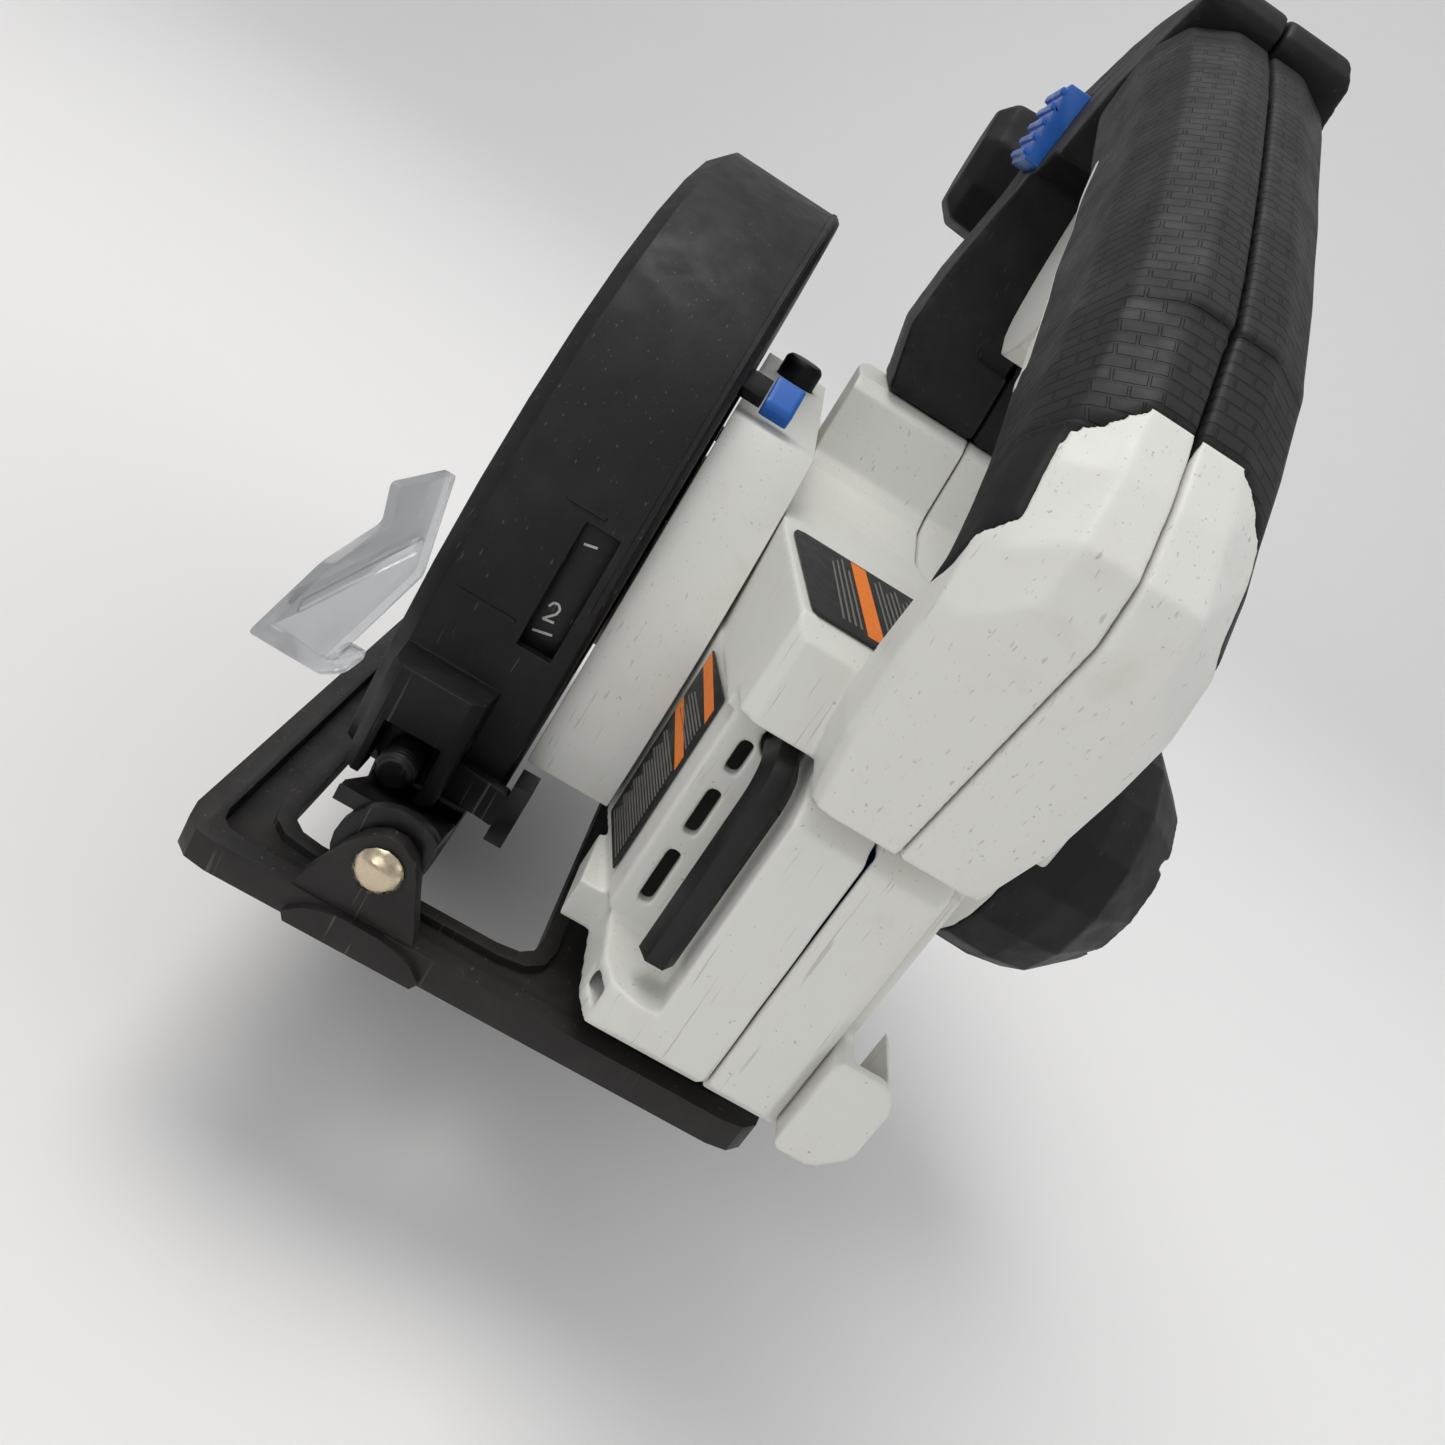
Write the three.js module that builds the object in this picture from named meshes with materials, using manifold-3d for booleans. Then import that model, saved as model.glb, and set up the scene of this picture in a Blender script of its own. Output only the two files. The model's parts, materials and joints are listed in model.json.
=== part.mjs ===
// A cordless circular saw with a 165 mm blade, built as an assembly of separate pieces.
// Millimetres. +X is the cutting direction, +Y is towards the blade side, +Z is up.
// The origin is on the sole, half way along the base, under the split plane of the handle.
import * as THREE from 'three';
import { mergeVertices } from 'three/addons/utils/BufferGeometryUtils.js';
import Module from 'manifold-3d';

const wasm = await Module();
wasm.setup();

// ---------------------------------------------------------------- driving dimensions
const GAP = 0.3; // clearance between pieces that rest on each other
const WALL = 2.5; // moulded wall
const SPLIT = 0.15; // half of the gap between the two clamshell halves

const BASE = { rear: -128, front: 128, right: -14, left: 91.5, plate: 2.8, rim: 5.8, rimWidth: 4.5, corner: 7 };
const OPENING = { rear: -113.5, front: 104, right: 31.5, left: 79, corner: 7, lip: 4.4, lipWidth: 3 };
const BEVEL = { y: 60.9, z: 15.5, rivet: 2.4 }; // bevel axis, along X
const DEPTH = { x: 104, z: 26, pin: 3, arcOuter: 195, strip: 2 }; // depth pivot, along Y

const BLADE = { x: -1.5, y: 66, z: 34, radius: 82.5, thickness: 1.6, teeth: 24 };
const GUARD = { radius: 95, wall: 2.2, right: 51, left: 80.5, bottom: 11.5, chamfer: 3.2 };
const LOWER = { radius: 85.6, wall: 1.6, right: 57.5, left: 75, from: 190, to: 352 };
const LEVER_ANGLE = 133; // where the lower guard's lever stands, in degrees above +X
const LEVER_SWING = 140; // how far it opens

const MOTOR = { x: -31.05, z: 44, shell: 33, can: 28.2, end: -78 };
const GEAR = { module: 1.2, wheel: 43, pinion: 9, right: 40.3, left: 46.5 };
const DRUM = { radius: 88.5, right: 33.3, left: 50, bottom: 24.5, top: 93.5, front: 70 };

// The handle runs along a straight line that rises forward. s is along it, t is down from its top line.
const HANDLE = { x: -115, z: 147.5, angle: THREE.MathUtils.degToRad(29.3) };
const SKIN = 3.2; // rubber thickness

const TRIGGER_TOP = 175; // top of the room the trigger swings in
const SADDLE = 84; // top of the block under the finger gap
const HUMP_TOP = 104.2;

// ---------------------------------------------------------------- materials
const paint = (color, roughness, metalness = 0, extra = {}) =>
  new THREE.MeshStandardMaterial({ color, roughness, metalness, ...extra });
const white = paint(0xdfe0dc, 0.55);
const black = paint(0x1e1e20, 0.6);
const rubber = paint(0x232324, 0.75);
const steel = paint(0x9a9a98, 0.35, 1);
const nickel = paint(0xc8b9a0, 0.3, 1);
const blackSteel = paint(0x202021, 0.5, 0.6);
const blue = paint(0x195fcd, 0.4);
const clear = paint(0xdfe4e8, 0.15, 0, { transparent: true, opacity: 0.35 });
const copper = paint(0xb4622c, 0.4, 1);
const brass = paint(0xb99a4c, 0.35, 1);
const labelInk = paint(0x18181a, 0.5);
const carbon = paint(0x2b2b2d, 0.8);

// ---------------------------------------------------------------- solid helpers
function solidOf(geometry) {
  const bare = geometry.clone();
  bare.deleteAttribute('normal');
  bare.deleteAttribute('uv');
  const merged = mergeVertices(bare, 1e-4);
  const position = merged.attributes.position;
  const index = Array.from(merged.index.array);
  let volume = 0;
  const corner = [new THREE.Vector3(), new THREE.Vector3(), new THREE.Vector3()];
  for (let i = 0; i < index.length; i += 3) {
    corner.forEach((c, k) => c.fromBufferAttribute(position, index[i + k]));
    volume += corner[0].dot(corner[1].clone().cross(corner[2]));
  }
  if (volume < 0) {
    for (let i = 0; i < index.length; i += 3) [index[i], index[i + 1]] = [index[i + 1], index[i]];
  }
  const faces = [];
  for (let i = 0; i < index.length; i += 3) {
    const [a, b, c] = index.slice(i, i + 3);
    if (a !== b && b !== c && c !== a) faces.push(a, b, c);
  }
  return new wasm.Manifold(new wasm.Mesh({
    numProp: 3,
    vertProperties: new Float32Array(position.array),
    triVerts: new Uint32Array(faces),
  }));
}

function geometryOf(solid) {
  const mesh = solid.getMesh();
  const geometry = new THREE.BufferGeometry();
  geometry.setAttribute('position', new THREE.BufferAttribute(mesh.vertProperties, 3));
  geometry.setIndex(new THREE.BufferAttribute(mesh.triVerts, 1));
  geometry.computeVertexNormals();
  return geometry;
}

const join = (first, ...rest) => rest.reduce((a, b) => a.add(b), first);
const cut = (first, ...rest) => rest.reduce((a, b) => a.subtract(b), first);

// A closed outline with rounded corners, from [u, v] points.
function outline(points, radius = 0) {
  const shape = new THREE.Shape();
  const count = points.length;
  points.forEach((point, i) => {
    const here = new THREE.Vector2(...point);
    const before = new THREE.Vector2(...points[(i + count - 1) % count]).sub(here);
    const after = new THREE.Vector2(...points[(i + 1) % count]).sub(here);
    const r = Math.min(radius, before.length() * 0.45, after.length() * 0.45);
    const start = here.clone().add(before.setLength(r || 1e-9));
    const end = here.clone().add(after.setLength(r || 1e-9));
    if (r === 0) {
      if (i === 0) shape.moveTo(here.x, here.y);
      else shape.lineTo(here.x, here.y);
      return;
    }
    if (i === 0) shape.moveTo(start.x, start.y);
    else shape.lineTo(start.x, start.y);
    shape.quadraticCurveTo(here.x, here.y, end.x, end.y);
  });
  shape.closePath();
  return shape;
}

const AXES = {
  x: [[0, 1, 0], [0, 0, 1], [1, 0, 0]], // outline is (y, z)
  y: [[1, 0, 0], [0, 0, 1], [0, -1, 0]], // outline is (x, z)
  z: [[1, 0, 0], [0, 1, 0], [0, 0, 1]], // outline is (x, y)
};

// A straight prism of an outline, from low to high along an axis.
function prism(axis, shape, low, high, curveSegments = 1) {
  const geometry = new THREE.ExtrudeGeometry(shape, { depth: high - low, bevelEnabled: false, curveSegments });
  const [u, v, w] = AXES[axis].map((a) => new THREE.Vector3(...a));
  const matrix = new THREE.Matrix4().makeBasis(u, v, w);
  const start = axis === 'y' ? high : low;
  matrix.setPosition(new THREE.Vector3(...AXES[axis][2]).multiplyScalar(axis === 'y' ? -start : start));
  return solidOf(geometry.applyMatrix4(matrix));
}

function box(x0, x1, y0, y1, z0, z1) {
  const geometry = new THREE.BoxGeometry(x1 - x0, y1 - y0, z1 - z0);
  geometry.translate((x0 + x1) / 2, (y0 + y1) / 2, (z0 + z1) / 2);
  return solidOf(geometry);
}

// A solid of revolution about an axis through (a, b), from [radius, height] points.
function turned(axis, a, b, profile, segments = 24) {
  const points = [...profile, profile[0]].map(([r, h]) => new THREE.Vector2(r, h));
  const geometry = new THREE.LatheGeometry(points, segments);
  if (axis === 'x') geometry.rotateZ(-Math.PI / 2).translate(0, a, b);
  if (axis === 'y') geometry.translate(a, 0, b);
  if (axis === 'z') geometry.rotateX(Math.PI / 2).translate(a, b, 0);
  return solidOf(geometry);
}

const rod = (axis, a, b, radius, low, high, segments = 24) =>
  turned(axis, a, b, [[0, low], [radius, low], [radius, high], [0, high]], segments);
const ring = (axis, a, b, inner, outer, low, high, segments = 24) =>
  turned(axis, a, b, [[inner, low], [outer, low], [outer, high], [inner, high]], segments);

// A closed skin over rings of points that all have the same count.
function loft(rings) {
  const count = rings[0].length;
  const vertices = rings.flat().flatMap((p) => [p.x, p.y, p.z]);
  const index = [];
  for (let r = 0; r + 1 < rings.length; r++) {
    for (let k = 0; k < count; k++) {
      const a = r * count + k;
      const b = r * count + ((k + 1) % count);
      index.push(a, b, b + count, a, b + count, a + count);
    }
  }
  const last = (rings.length - 1) * count;
  for (let k = 1; k + 1 < count; k++) {
    index.push(0, k + 1, k, last, last + k, last + k + 1);
  }
  const geometry = new THREE.BufferGeometry();
  geometry.setAttribute('position', new THREE.Float32BufferAttribute(vertices, 3));
  geometry.setIndex(index);
  return solidOf(geometry);
}

const polar = (radius, degrees) => {
  const a = THREE.MathUtils.degToRad(degrees);
  return [radius * Math.cos(a), radius * Math.sin(a)];
};

// Points of an arc, in degrees, about (cx, cz).
function arc(cx, cz, radius, from, to, steps) {
  return Array.from({ length: steps + 1 }, (_, i) => {
    const [u, v] = polar(radius, from + ((to - from) * i) / steps);
    return [cx + u, cz + v];
  });
}

const sector = (cx, cz, inner, outer, from, to, steps = 16) => outline([
  ...arc(cx, cz, outer, from, to, steps),
  ...(inner > 0 ? arc(cx, cz, inner, to, from, steps) : [[cx, cz]]),
]);

const leftHalf = (solid) => solid.intersect(box(-200, 200, SPLIT, 200, -100, 300));
const rightHalf = (solid) => solid.intersect(box(-200, 200, -200, -SPLIT, -100, 300));

// ---------------------------------------------------------------- the scene graph
const saw = new THREE.Group();
const group = (x = 0, y = 0, z = 0, parent = saw) => {
  const g = new THREE.Group();
  g.position.set(x, y, z);
  parent.add(g);
  return g;
};
const add = (parent, name, solid, material) => {
  const mesh = new THREE.Mesh(geometryOf(solid), material);
  mesh.name = name;
  parent.add(mesh);
  return mesh;
};
const base = group();
const frame = group();
const body = group();

// ---------------------------------------------------------------- base plate
const rect = (x0, x1, y0, y1) => [[x0, y0], [x1, y0], [x1, y1], [x0, y1]];

function pivotLug(x0, x1) {
  const { y, z } = BEVEL;
  const hump = [
    [y - 11.5, 1], [y - 10.4, 6.5], [y - 7.6, 12.5], [y - 5.5, 18.2], [y - 3, z + 5.6], [y, z + 6.5],
    [y + 3, z + 5.6], [y + 6, 18], [y + 8.2, 12.5], [y + 10.6, 7.5], [y + 11.8, 1],
  ];
  return cut(prism('x', outline(hump, 2), x0, x1), rod('x', y, z, BEVEL.rivet + GAP, x0 - 1, x1 + 1, 16));
}

function basePlate() {
  const outer = rect(BASE.rear, BASE.front, BASE.right, BASE.left);
  const w = BASE.rimWidth;
  const inner = rect(BASE.rear + w, BASE.front - w, BASE.right + w, BASE.left - w);
  const o = OPENING;
  const lip = o.lipWidth;
  let plate = prism('z', outline(outer, BASE.corner), 0, BASE.rim, 3);
  plate = cut(plate, prism('z', outline(inner, BASE.corner - 2), BASE.plate, BASE.rim + 1, 3));
  const lipOuter = rect(o.rear - lip, o.front + lip, o.right - lip, o.left + lip);
  plate = join(plate, prism('z', outline(lipOuter, o.corner + 2), BASE.plate - 0.5, o.lip, 3));
  plate = cut(plate, prism('z', outline(rect(o.rear, o.front, o.right, o.left), o.corner), -1, BASE.rim + 1, 3));
  const rearLug = pivotLug(BASE.rear + 0.6, BASE.rear + 3.6);
  const frontLug = pivotLug(o.front + 8.5, o.front + 11.5);
  const by = BEVEL.y - 2;
  const bulge = prism('x', outline([
    [by - 13, 0], [by - 11, 3.4], [by - 5, BASE.rim], [by + 5, BASE.rim], [by + 11, 3.4], [by + 13, 0],
  ], 2), BASE.rear - 1.6, BASE.rear + 1);
  plate = join(plate, rearLug, frontLug, bulge);
  const notches = [BLADE.y, BLADE.y - 9].map((y) =>
    prism('z', outline([[BASE.front + 1, y - 4], [BASE.front - 7, y], [BASE.front + 1, y + 4]]), -1, 10));
  return cut(plate, ...notches);
}

// A rivet along X: a domed head at headX, and a flat clinched end at endX.
function rivet(headX, endX) {
  const side = Math.sign(headX - endX);
  const r = BEVEL.rivet;
  const profile = [
    [0, headX + side * 2.4], [2.2, headX + side * 2], [3.6, headX + side * 1.2], [4.2, headX + side * 0.1],
    [4.2, headX], [r, headX], [r, endX], [3.4, endX], [3.4, endX - side * 1.2], [0, endX - side * 1.2],
  ];
  return turned('x', BEVEL.y, BEVEL.z, profile, 14);
}

add(base, 'base_plate', basePlate(), black);
add(base, 'rear_bevel_rivet', rivet(BASE.rear + 0.3, BASE.rear + 6.4), nickel);
add(base, 'front_bevel_rivet', rivet(OPENING.front + 11.8, OPENING.front + 5.5), nickel);

// The bevel quadrant stands at the front and has an arc slot about the bevel axis for the lock bolt.
const QUADRANT = { x: 115.8, thickness: 2.2, slot: 34, slotHalf: 2.9 };
function quadrant() {
  const { y, z } = BEVEL;
  const { x, thickness, slot, slotHalf } = QUADRANT;
  const plate = outline([
    [y - 44, 2.4], [y - 44, 12], ...arc(y, z, slot + 8, 180, 86, 10), [y + 8, z + 34], [y + 8, 2.4],
  ]);
  const body = prism('x', plate, x, x + thickness);
  const track = prism('x', sector(y, z, slot - slotHalf, slot + slotHalf, 92, 150, 12), x - 1, x + thickness + 1);
  const clearance = rod('x', y, z, 9, x - 1, x + thickness + 1);
  const foot = box(x, x + thickness, y - 44, y + 8, 2.4, 8);
  return join(cut(body, track, clearance), foot).intersect(box(0, 200, 0, 200, BASE.plate + GAP, 200));
}
add(base, 'bevel_quadrant', quadrant(), blackSteel);

// ---------------------------------------------------------------- bevel frame: depth strip, pivot bracket
const BOLT = { y: 68, z: 20, radius: 3.2, end: -108.6 };
const STRIP = { right: 55, left: 73, top: 13.2, low: -5 }; // the arc's limits, in degrees about the depth pivot

function depthStrip() {
  const outer = DEPTH.arcOuter;
  const inner = outer - DEPTH.strip;
  const about = (r, degrees) => polar(r, 180 - degrees);
  const at = (r, degrees) => {
    const [u, v] = about(r, degrees);
    return [DEPTH.x + u, DEPTH.z + v];
  };
  const steps = 9;
  const range = Array.from({ length: steps + 1 }, (_, i) => STRIP.low + ((STRIP.top - STRIP.low) * i) / steps);
  const footLow = [[-96.5, 7.2], [-117.5, 17.8], [-119.5, 19.2], [-122.2, 19.2]];
  const tab = [[-122.2, 6], [-124.1, 6]];
  const footHigh = [[-124.1, 25], [-122.2, 25], [-121.8, 21.4], [-118.6, 21.2], [-96, 9.4], [-91.4, 9.3], at(outer, -4.3)];
  const profile = [
    ...range.slice().reverse().map((d) => at(inner, d)),
    ...footLow, ...tab, ...footHigh,
    ...range.filter((d) => d > -4.2).map((d) => at(outer, d)),
  ];
  const strip = prism('y', outline(profile), STRIP.right, STRIP.left);
  const boltAngle = THREE.MathUtils.radToDeg(Math.asin((BOLT.z - DEPTH.z) / outer));
  const half = BOLT.radius + GAP;
  const slot = prism('y', sector(DEPTH.x, DEPTH.z, inner - 1, outer + 1, 180 - STRIP.top + 1.2, 180 - boltAngle + 1.2, 8),
    BOLT.y - half, BOLT.y + half);
  const footTrim = box(-130, -121.9, 40, 80, 0, 30).subtract(rod('x', BEVEL.y, BEVEL.z, 9.2, -131, -119));
  const pivot = rod('x', BEVEL.y, BEVEL.z, BEVEL.rivet + GAP, -130, -118, 16);
  return cut(strip, slot, pivot, footTrim);
}
add(frame, 'rear_depth_bracket', depthStrip(), blackSteel);

function pivotBracket() {
  const { y, z } = BEVEL;
  const x1 = OPENING.front + 8.5 - GAP;
  const x0 = x1 - 2.4;
  const face = outline([
    [y - 9, z - 6], [y - 40, z + 12], [y - 38, z + 28], [y - 18, z + 28], [y - 8, z + 17],
    [y + 11, z + 17], [y + 11, z - 6],
  ], 2);
  const plate = cut(
    prism('x', face, x0, x1),
    rod('x', y, z, BEVEL.rivet + GAP, x0 - 1, x1 + 1, 16),
    rod('x', LOCK.y, LOCK.z, LOCK.radius + GAP, x0 - 1, x1 + 1, 16),
  );
  const ear = (y0, y1) => cut(
    prism('y', outline([[x0 + 0.5, 11], [x0 + 0.5, 32], [DEPTH.x - 3, 32], [DEPTH.x - 7, 26], [DEPTH.x - 3, 20]], 2), y0, y1),
    rod('y', DEPTH.x, DEPTH.z, DEPTH.pin + GAP, y0 - 1, y1 + 1, 16),
  );
  return join(plate, ear(54.4, 56.8), ear(69.6, 71.9));
}
// The bevel lock bolt passes through the quadrant's slot and turns with the frame about the bevel axis.
const LOCK = {
  y: BEVEL.y + polar(QUADRANT.slot, 144)[0],
  z: BEVEL.z + polar(QUADRANT.slot, 144)[1],
  radius: 2.5,
};
add(frame, 'front_pivot_bracket', pivotBracket(), blackSteel);
add(frame, 'depth_pivot_pin', turned('y', DEPTH.x, DEPTH.z, [
  [0, 52.4], [4.6, 52.4], [4.6, 54.1], [DEPTH.pin, 54.1], [DEPTH.pin, 73.6], [0, 73.6],
], 16), steel);

add(frame, 'bevel_lock_bolt', turned('x', LOCK.y, LOCK.z, [
  [0, 107.6], [5, 107.6], [5, 109.4], [LOCK.radius, 109.4], [LOCK.radius, 131], [0, 131],
], 16), steel);

// The lock knob has a hub and one wing, and turns about the lock bolt.
const knob = group(0, LOCK.y, LOCK.z);
const knobHub = join(
  rod('x', 0, 0, 7.5, 118.3, 129, 16),
  prism('x', outline([[-5, -4], [-31, -5], [-34, 0], [-31, 5], [-5, 5]], 2), 121.5, 128),
);
add(knob, 'bevel_lock_knob', cut(knobHub, rod('x', 0, 0, LOCK.radius + GAP, 110, 140, 16)), black);

// ---------------------------------------------------------------- upper guard
const LUG_RADIUS = 5.3; // of the guard's lug around the depth pivot

function upperGuard() {
  const { x, z } = BLADE;
  const { radius, wall, right, left, bottom, chamfer } = GUARD;
  const shell = turned('y', x, z, [
    [0, right], [radius - 1, right], [radius, right + 1], [radius, left - chamfer], [radius - chamfer, left], [0, left],
  ], 36);
  const hollow = turned('y', x, z, [
    [0, right + wall], [radius - wall, right + wall], [radius - wall, left - chamfer - 0.6],
    [radius - wall - chamfer + 0.6, left - wall], [0, left - wall],
  ], 36);
  const rear = x - radius;
  const boss = prism('z', outline([[rear - 9, 60.2], [rear - 9, 77], [rear + 14, 78.5], [rear + 14, 58.6]], 2), 15, 37);
  const frontLug = prism('y', outline([
    [88, 12], [DEPTH.x - 2, DEPTH.z - LUG_RADIUS], ...arc(DEPTH.x, DEPTH.z, LUG_RADIUS, -70, 90, 6), [86, 48],
  ]), 57.1, 69.3);
  const slot = prism('y', sector(x, z, 84.8, 90.4, LEVER_ANGLE - LEVER_SWING - 5, LEVER_ANGLE + 5, 18), right - 1, right + 3);
  const bolt = rod('x', BOLT.y, BOLT.z, BOLT.radius + GAP, -120, -80, 16);
  const leverSlot = box(-99.9, -96.7, 40, 76, 5, 28);
  const pocket = box(-110, -99.8, 63, 73.6, 5, 26.5);
  const window = box(-110, -80, 55, 61.5, 46, 69);
  const access = rod('y', x, z, 24, left - wall - 2, left + 1, 24);
  const bearing = rod('y', x, z, 17.5 + GAP, right - 1, right + 4, 24);
  const below = box(-120, 120, 40, 100, -80, bottom);
  const pin = rod('y', DEPTH.x, DEPTH.z, DEPTH.pin + GAP, 40, 90, 16);
  return cut(join(shell, boss, frontLug), hollow, slot, bolt, leverSlot, pocket, window, access, bearing, below, pin);
}
add(body, 'upper_guard', upperGuard(), black);

add(body, 'depth_lock_bolt', turned('x', BOLT.y, BOLT.z, [
  [0, BOLT.end], [BOLT.radius - 0.6, BOLT.end], [BOLT.radius, BOLT.end + 0.8], [BOLT.radius, -88.4], [5, -88.4], [5, -87.2], [0, -87.2],
], 16), blackSteel);

const depthLever = group(0, BOLT.y, BOLT.z);
add(depthLever, 'depth_lock_lever', cut(
  join(
    rod('x', 0, 0, 6, -99.6, -97, 20),
    prism('x', outline([[0, -3], [-19, -5], [-19, 2], [0, 4]], 1), -99.6, -97),
    box(-99.6, -92.5, -21.8, -18.3, -8, 4.5),
  ),
  rod('x', 0, 0, BOLT.radius + GAP, -110, -90, 16),
), black);

// ---------------------------------------------------------------- gear housing
const HUB = { inner: 14.3, outer: 17.5, left: 60.2 };
const DRUM_WALL = 2.6;
const SPINDLE_LOCK = { x: 12, y: 41.5, radius: 4.8, travel: 3 };

function drumOutline(inset) {
  const { x, z } = BLADE;
  const angle = (height, radius) => THREE.MathUtils.radToDeg(Math.asin((height - z) / radius));
  const rear = DRUM.radius - inset;
  const front = DRUM.front - inset;
  const low = DRUM.bottom + inset;
  const high = DRUM.top - inset;
  return outline([
    ...arc(x, z, front, angle(low, front), angle(high, front), 9),
    ...arc(x, z, rear, 180 - angle(high, rear), 180 - angle(low, rear), 9),
  ]);
}

function gearHousing() {
  const { x, z } = BLADE;
  const drum = prism('y', drumOutline(0), DRUM.right, DRUM.left);
  const gears = join(
    rod('y', x, z, 29.5, 35.9, DRUM.left - DRUM_WALL, 32),
    rod('y', MOTOR.x, MOTOR.z, 10.5, 30, DRUM.left - DRUM_WALL, 24),
  );
  const hollow = prism('y', drumOutline(DRUM_WALL), DRUM.right + DRUM_WALL, DRUM.left - DRUM_WALL);
  const web = box(x - 3, x + 3, DRUM.right + 1, DRUM.left - 1, z + 30, DRUM.top - 1);
  const tailBearing = rod('y', x, z, 9.3, DRUM.right - 1, 38, 24);
  const hub = ring('y', x, z, HUB.inner, HUB.outer, DRUM.left - 1, HUB.left, 24);
  const bore = rod('y', x, z, HUB.inner, DRUM.left - 4, DRUM.left + 2, 24);
  const tipBearing = rod('y', MOTOR.x, MOTOR.z, 4.3, 30, DRUM.left - 1, 16);
  const open = cut(drum, cut(hollow, web), gears, tailBearing);
  const lock = rod('z', SPINDLE_LOCK.x, SPINDLE_LOCK.y, SPINDLE_LOCK.radius + GAP, 80, 100, 20);
  return cut(join(open, hub), bore, tipBearing, lock);
}
add(body, 'gear_housing', gearHousing(), white);
add(body, 'lower_guard_spring', springCoil(), steel);

// The return spring's coil about the hub, between the two guards.
function springCoil() {
  const turns = 1.25;
  const points = Array.from({ length: 31 }, (_, i) => {
    const [u, v] = polar(21.5, 40 + (turns * 360 * i) / 30);
    return new THREE.Vector3(BLADE.x + u, 54.1 + (2.2 * i) / 30, BLADE.z + v);
  });
  const wire = outline(arc(0, 0, 0.65, 0, 288, 4));
  return solidOf(new THREE.ExtrudeGeometry(wire, {
    steps: 24, bevelEnabled: false, extrudePath: new THREE.CatmullRomCurve3(points),
  }));
}

// ---------------------------------------------------------------- handle sections
const along = [Math.cos(HANDLE.angle), Math.sin(HANDLE.angle)];
const across = [Math.sin(HANDLE.angle), -Math.cos(HANDLE.angle)];
const onHandle = (s, t) => [HANDLE.x + along[0] * s + across[0] * t, HANDLE.z + along[1] * s + across[1] * t];

// Each section: rear or top point, front or bottom point, half width, squareness, and how far its rear corners sag.
const COLUMN = [
  [[-138.9, 66.5], [-118, 66], 14.2, 8, 0],
  [[-142.4, 78.7], [-121.5, 80], 16.8, 7, 0],
  [[-146.6, 93], [-125.5, 92], 17.5, 5, 2],
  [[-152.2, 111], [-127, 101], 17.6, 4, 17],
  [[-149.8, 118.4], [-122, 106], 17.9, 3.6, 13],
  [[-141.9, 125.1], [-114, 110.5], 18, 3, 6],
  [[-128.1, 136.2], [-105, 112.5], 18, 2.7, 0],
  [onHandle(0, 0), onHandle(0, 37.5), 18, 2.7, 0],
];
const SADDLES = [37.5, 38.6, 36.6, 38.4, 36.4, 38.2, 36.4, 37.6, 39];
const TOPLINE = [0, -0.6, -0.7, -0.7, -0.5, -0.2, 0.2, 1, 2.4];
const GRIP_START = -4;
const GRIP_END = 96;
const GRIP = SADDLES.map((depth, i) => {
  const s = GRIP_START + ((GRIP_END - GRIP_START) * i) / (SADDLES.length - 1);
  return [onHandle(s, TOPLINE[i]), onHandle(s, depth), 17.6 + Math.max(0, i - 6) * 0.8, 2.7, 0];
});

const gripAt = (s) => [onHandle(s, 0), onHandle(s, 37.5), 17.8, 2.7, 0];
const CORE = [gripAt(-3), ...GRIP.slice(1)]; // it starts inside the column
const SLEEVE = [...COLUMN.slice(0, -1), [onHandle(-1, 0), onHandle(-1, 37.5), 17.6, 2.7, 0]];

const DOWN_PAD = [0.305, -0.952]; // down the rear face of the pad

function section([top, bottom, half, squareness, sag], inset) {
  const a = new THREE.Vector2(...top);
  const b = new THREE.Vector2(...bottom);
  const centre = a.clone().add(b).multiplyScalar(0.5);
  const reach = a.clone().sub(b).multiplyScalar(0.5);
  const length = reach.length() - inset;
  reach.setLength(length);
  const width = half - inset;
  const power = 2 / squareness;
  return Array.from({ length: 12 }, (_, i) => {
    const angle = (2 * Math.PI * (i + 0.5)) / 12;
    const c = Math.sign(Math.cos(angle)) * Math.abs(Math.cos(angle)) ** power;
    const s = Math.sign(Math.sin(angle)) * Math.abs(Math.sin(angle)) ** power;
    const drop = sag * c * c * Math.max(0, s);
    return new THREE.Vector3(
      centre.x + reach.x * s + DOWN_PAD[0] * drop,
      width * c,
      centre.y + reach.y * s + DOWN_PAD[1] * drop,
    );
  });
}
const tube = (sections, inset) => loft(sections.map((s) => section(s, inset)));

// The rubber covers the column in front of this line; the white pad stays bare behind it.
const border = (offset) => outline([
  [-116, 152], [-131 - offset, 136], [-134 - offset, 124], [-142 - offset, 113.5], [-138 - offset, 104.5],
  [-124 - offset, 92], [-122 - offset, SADDLE + GAP - offset], [-90, SADDLE + GAP - offset], [-90, 152],
]);

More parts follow.
